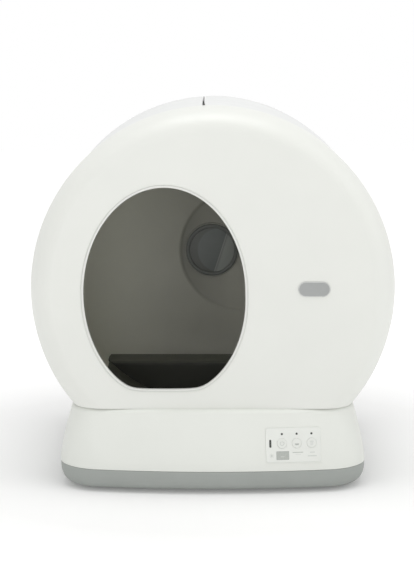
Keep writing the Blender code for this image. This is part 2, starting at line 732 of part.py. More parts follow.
def make_seam_strip():
    """The dark strip that closes the slit between the half shells."""
    outer = SEAM_STRIP_RECESS
    inner = SEAM_STRIP_RECESS + SEAM_STRIP_DEPTH
    loops = []
    for inset in (outer, inner):
        line = [(SHELL_FRONT_Y, SHELL_RADIUS - inset)]
        for step in range(SEAM_STRIP_POINTS + 1):
            angle = math.pi / 2.0 * step / SEAM_STRIP_POINTS
            radius = SHELL_RADIUS - SHELL_ROUND + (SHELL_ROUND - inset) * math.cos(angle)
            along = SHELL_REAR_Y - SHELL_ROUND_DEPTH + (SHELL_ROUND_DEPTH - inset) * math.sin(angle)
            line.append((along, radius))
        line.append((SHELL_REAR_Y - inset, DECK_HEIGHT - SHELL_AXIS_HEIGHT))
        loops.append(line)
    outline = loops[0] + list(reversed(loops[1]))
    outline = [(y, SHELL_AXIS_HEIGHT + z) for y, z in outline]
    half = SEAM_WIDTH / 2.0 - FIT
    strip = prism_x(outline, SEAM_SHIFT - half, SEAM_SHIFT + half)
    return add_object("seam_strip", strip, "rubber", smooth=False)


def make_drum_seal():
    """The felt band that closes the gap between the cover and the turning drum's lip."""
    inner = DRUM_LIP_RADIUS + DRUM_WALL * 2.0
    outer = FRONT_ROUND_CENTRE
    front = COVER_FACE_Y + WALL + FIT
    rear = DRUM_FRONT_Y - FIT
    profile = [(inner, front), (outer, front), (outer - SEAL_WIDTH_TAPER, rear),
               (inner + SEAL_WIDTH_TAPER, rear)]
    seal = add_object("drum_seal", turned(profile, DRUM_SEGMENTS, (0.0, DRUM_AXIS_HEIGHT)), "felt")
    below = prism_y(box_outline((-outer - OVERRUN, PAN_TOP), (outer + OVERRUN, DECK_HEIGHT + FIT)),
                    front - OVERRUN, rear + OVERRUN)
    boolean(seal, add_object("seal_foot_tool", below, None))


def make_base_housing():
    """The white base: a leaning wall with a rolled top edge and an inward deck."""
    low = PAN_TOP + FIT
    sections = []
    for share in HOUSING_LEVEL_SHARES:
        height = low + (BASE_HEIGHT - low) * share
        sections.append(base_section(base_lean(height), height))
    for angle in TOP_ROUND_ANGLES:
        drop = BASE_TOP_ROUND * (1.0 - math.sin(angle))
        inset = BASE_LEAN + BASE_TOP_ROUND * (1.0 - math.cos(angle))
        sections.append(base_section(inset, BASE_HEIGHT - drop))
    rim = BASE_LEAN + BASE_RIM_WIDTH
    sections.append(base_section(rim, BASE_HEIGHT))
    sections.append(base_section(rim, BASE_HEIGHT - WALL))
    for share in reversed(HOUSING_LEVEL_SHARES):
        height = low + (BASE_HEIGHT - low) * share
        sections.append(base_section(base_lean(height) + WALL, height))
    housing = add_object("base_housing", loft(sections, closed=True), "white_shell")
    boolean(housing, add_object("housing_cuts_tool", housing_cuts(), None))
    boolean(housing, add_object("inlet_cut_tool", inlet_cut(), None))


def housing_cuts():
    """Return the drawer opening and the vent slots as one set of cutters."""
    front = DRAWER_FRONT_Y - DRAWER_PANEL_MARGIN - PANEL_GAP
    rear = DRAWER_REAR_Y + DRAWER_PANEL_MARGIN + PANEL_GAP
    low = DRAWER_FLOOR - DRAWER_WALL + PANEL_GAP
    high = DRAWER_TOP + DRAWER_WALL
    inside = DECK_OPENING
    outside = BASE_HALF_WIDTH + OVERRUN
    cuts = prism_x([(front, low), (rear, low), (rear, high), (front, high)], inside, outside)
    middle = (VENT_SLOTS - 1) / 2.0
    wall_front = BASE_HALF_DEPTH - BASE_LEAN - BASE_BOW - WALL - OVERRUN
    for index in range(VENT_SLOTS):
        x = FILTER_X + (index - middle) * VENT_SLOT_PITCH
        slot = box_outline((x, VENT_SLOT_LOW), (x + VENT_SLOT_WIDTH, VENT_SLOT_LOW + VENT_SLOT_HEIGHT))
        merge_into(cuts, prism_y(slot, wall_front, BASE_HALF_DEPTH + OVERRUN))
    return cuts


def inlet_seat():
    """Return the depth of the face that the inlet's flange lies against."""
    return -base_front(INLET_SHIFT_X, INLET_HEIGHT) - INLET_SINK


def inlet_cut():
    """Return the stepped hole for the inlet, its wide step outside."""
    centre = (INLET_SHIFT_X, INLET_HEIGHT)
    outside = BASE_HALF_DEPTH + OVERRUN
    wide = INLET_RADIUS + INLET_FLANGE + FIT
    profile = [(0.0, BASE_HALF_DEPTH - INLET_LENGTH), (INLET_RADIUS + FIT, BASE_HALF_DEPTH - INLET_LENGTH),
               (INLET_RADIUS + FIT, inlet_seat()), (wide, inlet_seat()), (wide, outside), (0.0, outside)]
    return turned(profile, MEDIUM_SIDES, centre)


def drum_line(grow):
    """Return the drum's (radius, y) line from the front lip to the hub, grown outwards."""
    line = []
    for step in range(DRUM_FRONT_STEPS + 1):
        angle = math.pi / 2.0 * step / DRUM_FRONT_STEPS
        line.append((FRONT_ROUND_CENTRE + (DRUM_FRONT_ROUND + grow) * math.sin(angle),
                     FRONT_ROUND_Y - (DRUM_FRONT_ROUND_DEPTH + grow) * math.cos(angle)))
    for step in range(DRUM_REAR_STEPS + 1):
        angle = math.pi / 2.0 * step / DRUM_REAR_STEPS
        thicker = grow + (DISH_DEPTH if grow > 0.0 else 0.0) * math.sin(angle)
        line.append((REAR_ROUND_CENTRE + (DRUM_REAR_ROUND + grow) * math.cos(angle),
                     REAR_ROUND_Y + (DRUM_REAR_ROUND_DEPTH + thicker) * math.sin(angle)))
    return line


def drum_inner_radius(along):
    """Return the distance from the drum's axis to its inner flat sides at a depth."""
    line = drum_line(0.0)
    for (near, start), (far, end) in zip(line, line[1:]):
        if start <= along <= end:
            share = (along - start) / (end - start)
            return (near + (far - near) * share) * DRUM_FLAT_SHARE
    return DRUM_INNER * DRUM_FLAT_SHARE


def make_drum():
    """The bowl that turns: open in front, dished behind, with a hub hole and a waste port."""
    outer = drum_line(DRUM_WALL)
    inner = drum_line(0.0)
    profile = [(DRUM_LIP_RADIUS, DRUM_FRONT_Y)] + outer
    profile += [(HUB_HOLE_RADIUS, DRUM_REAR_Y), (HUB_HOLE_RADIUS, DRUM_REAR_IN_Y)]
    profile += list(reversed(inner)) + [(DRUM_LIP_RADIUS, DRUM_FRONT_IN_Y)]
    drum = add_object("drum", turned(profile, DRUM_SEGMENTS), "grey_drum")
    dish = circle_outline(DISH_RADIUS, DISH_SEGMENTS, (DISH_SHIFT, 0.0))
    dish_tool = prism_y(dish, DRUM_REAR_IN_Y - OVERRUN, DRUM_REAR_IN_Y + DISH_DEPTH)
    boolean(drum, add_object("dish_tool", dish_tool, None))

    outline = rounded_outline(PORT_WIDTH / 2.0, PORT_LENGTH / 2.0, PORT_CORNER_RADIUS, PORT_CORNER_STEPS,
                              (0.0, PORT_SHIFT_Y))
    port = prism_z(outline, DRUM_INNER - PORT_CUT_DEPTH, DRUM_OUTER + OVERRUN)
    port_tool = add_object("port_tool", port, None, rotation=(0.0, PORT_ANGLE, 0.0))
    boolean(drum, port_tool)
    return [drum, bpy.data.objects["dish_tool"], port_tool]


def make_sieve():
    """The grille across the drum's side: bars and cross bars whose outline follows the bowl."""
    front = DRUM_FRONT_IN_Y + SIEVE_FRONT_MARGIN
    rear = DRUM_REAR_IN_Y - SIEVE_REAR_MARGIN
    columns = grille_lines(front, rear, SIEVE_COLUMNS)
    row_shares = grille_lines(-1.0, 1.0, SIEVE_ROWS)
    outer_face = SIEVE_DISTANCE + SIEVE_WALL
    layers = []
    for depth in (SIEVE_DISTANCE, outer_face):
        layer = []
        for along in columns:
            radius = drum_inner_radius(along) - FIT
            half = math.sqrt(radius ** 2 - outer_face ** 2)
            layer.append([(share * half, along, depth) for share in row_shares])
        layers.append(layer)
    turn = (0.0, SIEVE_ANGLE, 0.0)
    return add_object("sieve_grille", grille(layers), "grey_drum", rotation=turn, smooth=False)


def grille_lines(start, end, openings):
    """Return the edges of the bars and gaps between two ends, a frame strip at each end."""
    pitch = (end - start) / (openings - SIEVE_BAR_SHARE + 2.0 * SIEVE_FRAME_SHARE)
    lines = [start]
    place = start + pitch * SIEVE_FRAME_SHARE
    for _ in range(openings):
        lines += [place, place + pitch * (1.0 - SIEVE_BAR_SHARE)]
        place += pitch
    lines.append(end)
    return lines


def grille(layers):
    """Join two layers of grid points into a plate, leaving every odd cell open."""
    data = bmesh.new()
    points = [[[data.verts.new(place) for place in row] for row in layer] for layer in layers]
    rows = len(layers[0]) - 1
    cells = len(layers[0][0]) - 1

    def solid(row, cell):
        if not (0 <= row < rows and 0 <= cell < cells):
            return False
        return not (row % 2 == 1 and cell % 2 == 1)

    near, far = points
    for row in range(rows):
        for cell in range(cells):
            if not solid(row, cell):
                continue
            corners = ((row, cell), (row + 1, cell), (row + 1, cell + 1), (row, cell + 1))
            data.faces.new([near[i][j] for i, j in corners])
            data.faces.new([far[i][j] for i, j in reversed(corners)])
            sides = (((row, cell - 1), corners[0], corners[1]), ((row + 1, cell), corners[1], corners[2]),
                     ((row, cell + 1), corners[2], corners[3]), ((row - 1, cell), corners[3], corners[0]))
            for neighbour, start, end in sides:
                if not solid(*neighbour):
                    data.faces.new((near[start[0]][start[1]], near[end[0]][end[1]],
                                    far[end[0]][end[1]], far[start[0]][start[1]]))
    return data


def liner_row(radius, along, drop):
    """Return one row of liner points: an arc of the bowl below a level line."""
    limit = math.acos(min(1.0, drop / radius))
    row = []
    for index in range(LINER_COLUMNS + 1):
        angle = limit * (2.0 * index / LINER_COLUMNS - 1.0)
        row.append((radius * math.sin(angle), along, -radius * math.cos(angle)))
    return row


def level_row(row, along, drop, half_width=None):
    """Return a row lifted to a level line, narrowed to a half width where one is given."""
    widest = max(point[0] for point in row)
    scale = 1.0 if half_width is None else half_width / widest
    return [(x * scale, along, -drop) for x, _, _ in row]


def make_liner():
    """The black litter liner: a well that follows the bowl, a rear step and a shelf with a lip."""
    layers = []
    for gap in (FIT, FIT + LINER_WALL):
        level = LINER_DROP if gap > FIT else LINER_DROP + LINER_WALL
        rows = []
        for angle in LINER_FRONT_ANGLES:
            radius = FRONT_ROUND_CENTRE + (DRUM_FRONT_ROUND - gap) * math.cos(angle)
            along = FRONT_ROUND_Y - (DRUM_FRONT_ROUND_DEPTH - gap) * math.sin(angle)
            rows.append(liner_row(radius * DRUM_FLAT_SHARE, along, LINER_DROP))
        step = LINER_WELL_REAR + (0.0 if gap > FIT else LINER_WALL)
        well = DRUM_INNER * DRUM_FLAT_SHARE - gap
        rows.append(liner_row(well, FRONT_ROUND_Y, LINER_DROP))
        rows.append(liner_row(well, step, LINER_DROP))
        rows.append(level_row(rows[-1], step, level, math.sqrt(well ** 2 - level ** 2)))
        shelf_end = LINER_SHELF_REAR - (LINER_WALL if gap > FIT else 0.0)
        reach = drum_inner_radius(LINER_SHELF_REAR) - gap
        half = math.sqrt(reach ** 2 - (LINER_DROP + LINER_WALL) ** 2)
        rows.append(level_row(rows[-1], shelf_end, level, half))
        rows.append(level_row(rows[-1], shelf_end, LINER_DROP - LINER_LIP_HEIGHT))
        layers.append(rows)
    return add_object("litter_liner", sheet_between(*layers), "black_liner")


def sheet_between(under, over):
    """Close the space between two grids of points into one solid."""
    data = bmesh.new()
    low = [[data.verts.new(place) for place in row] for row in under]
    high = [[data.verts.new(place) for place in row] for row in over]
    rows = len(low)
    columns = len(low[0])
    for i in range(rows - 1):
        for j in range(columns - 1):
            for grid in (low, high):
                add_quad(data, (grid[i][j], grid[i + 1][j], grid[i + 1][j + 1], grid[i][j + 1]))
        for j in (0, columns - 1):
            add_quad(data, (low[i][j], low[i + 1][j], high[i + 1][j], high[i][j]))
    for j in range(columns - 1):
        for i in (0, rows - 1):
            add_quad(data, (low[i][j], low[i][j + 1], high[i][j + 1], high[i][j]))
    return data


def add_quad(data, corners):
    """Add a face, leaving out corners that lie on each other."""
    kept = []
    for corner in corners:
        if all((corner.co - other.co).length > FIT * WELD_SHARE for other in kept):
            kept.append(corner)
    if len(kept) > 2:
        data.faces.new(kept)


def gear_outline(teeth, pitch, root, tip, phase, flank_steps, involute):
    """Return a toothed outline as (a, b) points, the first tooth centred on the phase angle."""
    points = []
    step = 2.0 * math.pi / teeth
    half_pitch = step * TOOTH_THICKNESS_SHARE / 2.0
    base = pitch * math.cos(PRESSURE_ANGLE)
    lean = math.tan(PRESSURE_ANGLE) - PRESSURE_ANGLE

    def half_angle(radius):
        if not involute:
            return half_pitch - (radius - pitch) * math.tan(PRESSURE_ANGLE) / radius
        if radius <= base:
            return half_pitch + lean
        acting = math.acos(base / radius)
        return half_pitch + lean - (math.tan(acting) - acting)

    for index in range(teeth):
        centre = phase + step * index
        flank = [root + (tip - root) * share / flank_steps for share in range(flank_steps + 1)]
        for radius in flank:
            angle = centre - half_angle(radius)
            points.append((radius * math.cos(angle), radius * math.sin(angle)))
        for radius in reversed(flank):
            angle = centre + half_angle(radius)
            points.append((radius * math.cos(angle), radius * math.sin(angle)))
    return points


def make_ring_gear():
    """The toothed ring round the bowl's rear, a tooth pointing at the pinion."""
    towards = math.atan2(PINION_Z - DRUM_AXIS_HEIGHT, PINION_X)
    tip = RING_PITCH + ADDENDUM_SHARE * GEAR_MODULE
    teeth = gear_outline(RING_GEAR_TEETH, RING_PITCH, RING_ROOT, tip, towards, 1, False)
    ring = add_object("ring_gear", prism_y(teeth, GEAR_FRONT_Y, GEAR_REAR_Y), "acetal", smooth=False)
    bore = circle_outline(DRUM_OUTER + FIT, DRUM_SEGMENTS)
    through = prism_y(bore, GEAR_FRONT_Y - OVERRUN, GEAR_REAR_Y + OVERRUN)
    bore_tool = add_object("ring_bore_tool", through, None)
    boolean(ring, bore_tool)
    return [ring, bore_tool]


def make_hub_bush():
    """The dark bearing ring in the drum's hub hole."""
    outer = HUB_HOLE_RADIUS - FIT
    inner = outer - BUSH_WALL
    profile = [(inner, DRUM_REAR_IN_Y), (outer, DRUM_REAR_IN_Y), (outer, DRUM_REAR_Y), (inner, DRUM_REAR_Y)]
    return add_object("hub_bush", turned(profile, LARGE_SIDES), "dark_plastic")


def make_pinion():
    """The pinion on the gearbox shaft, a gap pointing at the ring gear."""
    towards = math.atan2(DRUM_AXIS_HEIGHT - PINION_Z, -PINION_X)
    phase = towards + math.pi / PINION_TEETH
    root = PINION_PITCH - DEDENDUM_SHARE * GEAR_MODULE
    tip = PINION_PITCH + ADDENDUM_SHARE * GEAR_MODULE
    outline = gear_outline(PINION_TEETH, PINION_PITCH, root, tip, phase, FLANK_STEPS, True)
    blank = prism_y(outline, GEAR_FRONT_Y, GEAR_REAR_Y)
    pinion = add_object("drive_pinion", blank, "acetal", smooth=False)
    bore = circle_outline(PINION_SHAFT_RADIUS + FIT, SMALL_SIDES)
    through = prism_y(bore, GEAR_FRONT_Y - OVERRUN, GEAR_REAR_Y + OVERRUN)
    bore_tool = add_object("pinion_bore_tool", through, None)
    boolean(pinion, bore_tool)
    shaft_front = GEAR_FRONT_Y - MOTOR_BRACKET_WALL
    shaft_rear = GEAR_REAR_Y + MOTOR_BRACKET_WALL + GEAR_END_GAP
    shaft = prism_y(circle_outline(PINION_SHAFT_RADIUS, SMALL_SIDES), shaft_front, shaft_rear)
    return [pinion, bore_tool, add_object("pinion_shaft", shaft, "steel")]


def make_roller():
    """A crowned roller about its own axis."""
    half = ROLLER_WIDTH / 2.0
    bore = AXLE_RADIUS + FIT
    edge = ROLLER_RADIUS - ROLLER_EDGE_DROP
    profile = [(bore, -half), (edge, -half), (ROLLER_RADIUS, -half / 2.0), (ROLLER_RADIUS, half / 2.0),
               (edge, half), (bore, half)]
    return turned(profile, MEDIUM_SIDES)


def roller_places():
    """Return the four roller names and centres."""
    places = []
    for side, x in (("left", -ROLLER_X), ("right", ROLLER_X)):
        for end, y in (("front", ROLLER_FRONT_Y), ("rear", ROLLER_REAR_Y)):
            places.append((end + "_" + side, (x, y, ROLLER_Z)))
    return places


def make_rollers():
    """Four rollers under the drum, each about its own pivot."""
    for name, centre in roller_places():
        pivot = add_pivot("pivot_roller_" + name, centre)
        carry(pivot, add_object("roller_" + name, make_roller(), "rubber"))


def make_roller_brackets():
    """Four forked brackets that stand on the pan and hold the roller axles."""
    head = BRACKET_WIDTH * BRACKET_HEAD_SHARE
    inner = ROLLER_WIDTH / 2.0 + FIT
    outer = BRACKET_HALF_DEPTH
    low = PAN_FLOOR + FIT
    for name, (x, y, z) in roller_places():
        fork = [(y - outer, low), (y + outer, low), (y + outer, z + head), (y + inner, z + head),
                (y + inner, low + BRACKET_WALL), (y - inner, low + BRACKET_WALL), (y - inner, z + head),
                (y - outer, z + head)]
        blank = prism_x(fork, x - BRACKET_WIDTH / 2.0, x + BRACKET_WIDTH / 2.0)
        bracket = add_object("bracket_" + name, blank, "dark_plastic", smooth=False)
        shape = [(x - BRACKET_WIDTH / 2.0, low - OVERRUN), (x + BRACKET_WIDTH / 2.0, low - OVERRUN)]
        for step in range(BRACKET_HEAD_STEPS + 1):
            angle = math.pi * step / BRACKET_HEAD_STEPS
            shape.append((x + head * math.cos(angle), z + head * math.sin(angle) * BRACKET_CROWN_SHARE))
        front = y - outer - OVERRUN
        rear = y + outer + OVERRUN
        trim = add_object("bracket_trim_tool_" + name, prism_y(shape, front, rear), None)
        boolean(bracket, trim, "INTERSECT")
        bore = prism_y(circle_outline(AXLE_RADIUS + FIT, TINY_SIDES, (x, z)), front, rear)
        boolean(bracket, add_object("bracket_bore_tool_" + name, bore, None))


def make_roller_axles():
    """The four steel pins that the rollers turn on."""
    half = BRACKET_HALF_DEPTH
    for name, (x, y, z) in roller_places():
        pin = prism_y(circle_outline(AXLE_RADIUS, TINY_SIDES, (x, z)), y - half, y + half)
        add_object("axle_" + name, pin, "steel")


def make_drive():
    """The gearbox, its motor and the bracket that holds them beside the ring gear."""
    front = GEAR_REAR_Y + GEAR_END_GAP
    box_front = front + MOTOR_BRACKET_WALL + FIT
    box_rear = box_front + GEARBOX_LENGTH
    half = GEARBOX_SIZE / 2.0
    outline = rounded_outline(half, half, GEARBOX_CORNER_RADIUS, GEARBOX_CORNER_STEPS,
                              (PINION_X, PINION_Z))
    gearbox = add_object("gearbox", prism_y(outline, box_front, box_rear), "dark_plastic")
    bore = prism_y(circle_outline(PINION_SHAFT_RADIUS + FIT, SMALL_SIDES, (PINION_X, PINION_Z)),
                   front - OVERRUN, box_front + OVERRUN)
    boolean(gearbox, add_object("gearbox_bore_tool", bore, None))

    start = box_rear + FIT
    end = start + MOTOR_LENGTH
    profile = [(0.0, start), (MOTOR_RADIUS, start), (MOTOR_RADIUS, end), (MOTOR_NECK_RADIUS, end),
               (MOTOR_NECK_RADIUS, end + MOTOR_CAP_LENGTH), (0.0, end + MOTOR_CAP_LENGTH)]
    add_object("drive_motor", turned(profile, MEDIUM_SIDES, (PINION_X, PINION_Z)), "steel")

    low = PAN_FLOOR + FIT
    plate = [(PINION_X - half, low), (PINION_X + half, low), (PINION_X + half, PINION_Z + half),
             (PINION_X - half, PINION_Z + half)]
    bracket = prism_y(plate, front, front + MOTOR_BRACKET_WALL)
    foot = prism_y(box_outline((PINION_X - half, low), (PINION_X + half, low + MOTOR_BRACKET_WALL)),
                   front + MOTOR_BRACKET_WALL / 2.0, front + MOTOR_BRACKET_WALL + MOTOR_BRACKET_FOOT)
    made = add_object("motor_bracket", bracket, "steel", smooth=False)
    boolean(made, add_object("motor_foot_tool", foot, None), "UNION")
    hole = prism_y(circle_outline(PINION_SHAFT_RADIUS + 2.0 * FIT, SMALL_SIDES, (PINION_X, PINION_Z)),
                   front - OVERRUN, front + MOTOR_BRACKET_WALL + OVERRUN)
    boolean(made, add_object("motor_bracket_bore_tool", hole, None))


def make_rear_frame():
    """The upright behind the drum that carries the hub: a foot and a round head with an eye for the wires."""
    low = PAN_FLOOR + FIT
    front = FRAME_FRONT_Y
    rear = front + FRAME_WALL
    axis = DRUM_AXIS_HEIGHT
    outline = [(-FRAME_HALF_WIDTH, low), (FRAME_HALF_WIDTH, low)]
    tilt = math.asin((FRAME_HALF_WIDTH - FRAME_HEAD_RADIUS) / (axis - low))
    for step in range(FRAME_HEAD_STEPS + 1):
        angle = tilt + (math.pi - 2.0 * tilt) * step / FRAME_HEAD_STEPS
        outline.append((FRAME_HEAD_RADIUS * math.cos(angle), axis + FRAME_HEAD_RADIUS * math.sin(angle)))
    frame = add_object("rear_frame", prism_y(outline, front, rear), "aluminium", smooth=False)
    foot = prism_y(box_outline((-FRAME_HALF_WIDTH, low), (FRAME_HALF_WIDTH, low + FRAME_WALL)),
                   rear - FRAME_FOOT_LENGTH, front + FRAME_WALL / 2.0)
    boolean(frame, add_object("frame_foot_tool", foot, None), "UNION")
    eye = prism_y(circle_outline(FRAME_EYE_RADIUS, MEDIUM_SIDES, (0.0, axis)), front - OVERRUN, rear + OVERRUN)
    boolean(frame, add_object("frame_eye_tool", eye, None))


def make_hub():
    """The fixed spindle that the drum turns on, with the sensor window and its board inside."""
    rear = FRAME_FRONT_Y - FIT
    front = DRUM_REAR_IN_Y - SPINDLE_PROUD
    flange = rear - SPINDLE_FLANGE_DEPTH
    wide = SPINDLE_RADIUS + SPINDLE_FLANGE
    seat = front + LENS_SET_IN + LENS_THICKNESS + FIT
    step = SPINDLE_BORE - SPINDLE_WALL / 2.0
    profile = [(SPINDLE_BORE, front), (SPINDLE_RADIUS, front), (SPINDLE_RADIUS, flange), (wide, flange),
               (wide, rear), (step, rear), (step, seat), (SPINDLE_BORE, seat)]
    centre = (0.0, DRUM_AXIS_HEIGHT)
    add_object("hub_spindle", turned(profile, LARGE_SIDES, centre), "dark_plastic")
    radius = SPINDLE_BORE - FIT
    lens = [(0.0, seat - FIT - LENS_THICKNESS), (radius, seat - FIT - LENS_THICKNESS), (radius, seat - FIT),
            (0.0, seat - FIT)]
    add_object("sensor_window", turned(lens, LARGE_SIDES, centre), "lens")
    board_rear = FRAME_FRONT_Y - FIT
    radius = step - FIT
    disc = [(0.0, board_rear - SENSOR_BOARD_THICKNESS), (radius, board_rear - SENSOR_BOARD_THICKNESS),
            (radius, board_rear), (0.0, board_rear)]
    add_object("sensor_board", turned(disc, LARGE_SIDES, centre), "circuit_board")


def drawer_top(x, gap):
    """Return the height of the drawer's curved top under the drum."""
    reach = DRUM_OUTER + gap
    if abs(x) >= reach:
        return DRAWER_TOP
    return min(DRAWER_TOP, DRUM_AXIS_HEIGHT - math.sqrt(reach ** 2 - x ** 2))


def drawer_inner_x():
    """Return where the drawer's inner end stands, where the drum leaves its lip clear."""
    reach = DRUM_OUTER + DRAWER_DRUM_GAP
    drop = DRUM_AXIS_HEIGHT - DRAWER_FLOOR - DRAWER_LIP
    if reach <= drop:
        return RAIL_WIDTH
    return math.sqrt(reach ** 2 - drop ** 2)


def drawer_outer_x():
    """Return where the tray ends, behind the top of its leaning front panel."""
    return BASE_HALF_WIDTH - base_lean(DRAWER_TOP) - DRAWER_PANEL_WALL - DRAWER_TRAY_GAP


def drawer_section(inset, floor, rise):
    """Return the tray's (x, z) section: level floor, curved top under the drum."""
    left = drawer_inner_x() + inset
    right = drawer_outer_x() - inset
    outline = [(left, floor), (right, floor)]
    for step in range(DRAWER_CURVE_STEPS + 1):
        x = right + (left - right) * step / DRAWER_CURVE_STEPS
        outline.append((x, drawer_top(x, DRAWER_DRUM_GAP) + rise))
    return outline


def make_drawer_tray():
    """The waste drawer's tray, open on top, under the drum's side."""
    blank = prism_y(drawer_section(0.0, DRAWER_FLOOR, 0.0), DRAWER_FRONT_Y, DRAWER_REAR_Y)
    tray = add_object("drawer_tray", blank, "dark_plastic", smooth=False)
    hollow = prism_y(drawer_section(DRAWER_WALL, DRAWER_FLOOR + DRAWER_WALL, DRAWER_LIP),
                     DRAWER_FRONT_Y + DRAWER_WALL, DRAWER_REAR_Y - DRAWER_WALL)
    boolean(tray, add_object("drawer_hollow_tool", hollow, None))


def panel_section(inset, low, high):
    """Return a section that follows the leaning side from one height to another, inset from it."""
    outline = []
    for step in range(DRAWER_LEAN_STEPS + 1):
        height = low + (high - low) * step / DRAWER_LEAN_STEPS
        outline.append((BASE_HALF_WIDTH - base_lean(height) - inset, height))
    return outline


def make_drawer_front():
    """The drawer's outer panel: a leaning plate, thicker on top where the tray joins, with a finger slot."""
    low = DRAWER_FLOOR - DRAWER_WALL + 2.0 * PANEL_GAP
    high = DRAWER_TOP + DRAWER_WALL - PANEL_GAP
    front = DRAWER_FRONT_Y - DRAWER_PANEL_MARGIN
    rear = DRAWER_REAR_Y + DRAWER_PANEL_MARGIN
    join_x = drawer_outer_x() + DRAWER_TRAY_GAP
    join_low = DRAWER_TOP - DRAWER_JOIN_HEIGHT
    outline = panel_section(0.0, low, high) + [(join_x, high), (join_x, join_low)]
    outline += list(reversed(panel_section(DRAWER_PANEL_WALL, low, join_low)))
    panel = add_object("drawer_front", prism_y(outline, front, rear), "white_shell", smooth=False)

    middle = (DRAWER_FRONT_Y + DRAWER_REAR_Y) / 2.0
    bottom = low + GRIP_RISE
    top = bottom + GRIP_HEIGHT
    mouth = box_outline((BASE_HALF_WIDTH - base_lean(top) - DRAWER_PANEL_WALL - OVERRUN, bottom),
                        (BASE_HALF_WIDTH + OVERRUN, top))
    opening = prism_y(mouth, middle - GRIP_LENGTH / 2.0, middle + GRIP_LENGTH / 2.0)
    boolean(panel, add_object("grip_tool", opening, None))


def make_drawer_rails():
    """Two rails on the pan that the drawer slides on."""
    low = PAN_FLOOR + FIT
    ledge = DRAWER_FLOOR - FIT
    left = drawer_inner_x()
    right = BASE_HALF_WIDTH - WALL - PAN_ROUND
    for name, y, side in (("rail_front", DRAWER_FRONT_Y, -1.0), ("rail_rear", DRAWER_REAR_Y, 1.0)):
        guide = y + side * FIT
        hook = guide - side * RAIL_WIDTH / 2.0
        outer = guide + side * RAIL_WALL
        inner = y - side * RAIL_WIDTH
        section = [(inner, low), (outer, low), (outer, ledge + RAIL_GUIDE_HEIGHT),
                   (guide, ledge + RAIL_GUIDE_HEIGHT), (guide, ledge), (hook, ledge),
                   (hook, ledge - RAIL_WALL), (y, ledge - RAIL_WALL - RAIL_WIDTH / 2.0),
                   (y, low + RAIL_WALL), (inner, low + RAIL_WALL)]
        add_object(name, prism_x(section, left, right), "dark_plastic", smooth=False)


def panel_frame():
    """Return the control panel's place on the front wall as a matrix: right, up and outward."""
    bow = BASE_BOW / BASE_HALF_DEPTH
    lean_height = BASE_HEIGHT - BASE_LEAN_START
    share = (PANEL_HEIGHT - BASE_LEAN_START) / lean_height
    lean_slope = BASE_LEAN * BASE_LEAN_POWER * share ** (BASE_LEAN_POWER - 1.0) / lean_height
    half_y = BASE_HALF_DEPTH - base_lean(PANEL_HEIGHT)
    slope_x = half_y * bow * 2.0 * PANEL_SHIFT_X / BASE_HALF_WIDTH ** 2
    slope_z = lean_slope * (1.0 - bow * (PANEL_SHIFT_X / BASE_HALF_WIDTH) ** 2)
    across = Vector((1.0, slope_x, 0.0)).normalized()
    rough_up = Vector((0.0, slope_z, 1.0))
    outward = across.cross(rough_up).normalized()
    upward = outward.cross(across)
    place = Vector((PANEL_SHIFT_X, base_front(PANEL_SHIFT_X, PANEL_HEIGHT), PANEL_HEIGHT))
    turn = Matrix((across, upward, outward)).transposed()
    return place, turn


def button_places():
    """Return each button's name and its place on the panel."""
    places = []
    for index, name in enumerate(("button_power", "button_clean", "button_empty")):
        places.append((name, (BUTTON_SHIFT_U + (index - 1) * BUTTON_PITCH, BUTTON_RISE)))
    return places


def panel_holes(front, rear):
    """Return cutters for the buttons, the lights and the slot between two depths."""
    holes = bmesh.new()
    for _, (u, v) in button_places():
        button = circle_outline(BUTTON_RADIUS + FIT, MEDIUM_SIDES, (u, v))
        light = circle_outline(LIGHT_RADIUS + FIT, TINY_SIDES, (u, LIGHT_RISE))
        merge_into(holes, prism_z(button, rear, front))
        merge_into(holes, prism_z(light, rear, front))
    slot = rounded_outline(SLOT_HALF_WIDTH + FIT, SLOT_HALF_HEIGHT + FIT, SLOT_HALF_WIDTH + FIT,
                           PANEL_CORNER_STEPS, (SLOT_SHIFT_U, BUTTON_RISE))
    merge_into(holes, prism_z(slot, rear, front))
    return holes


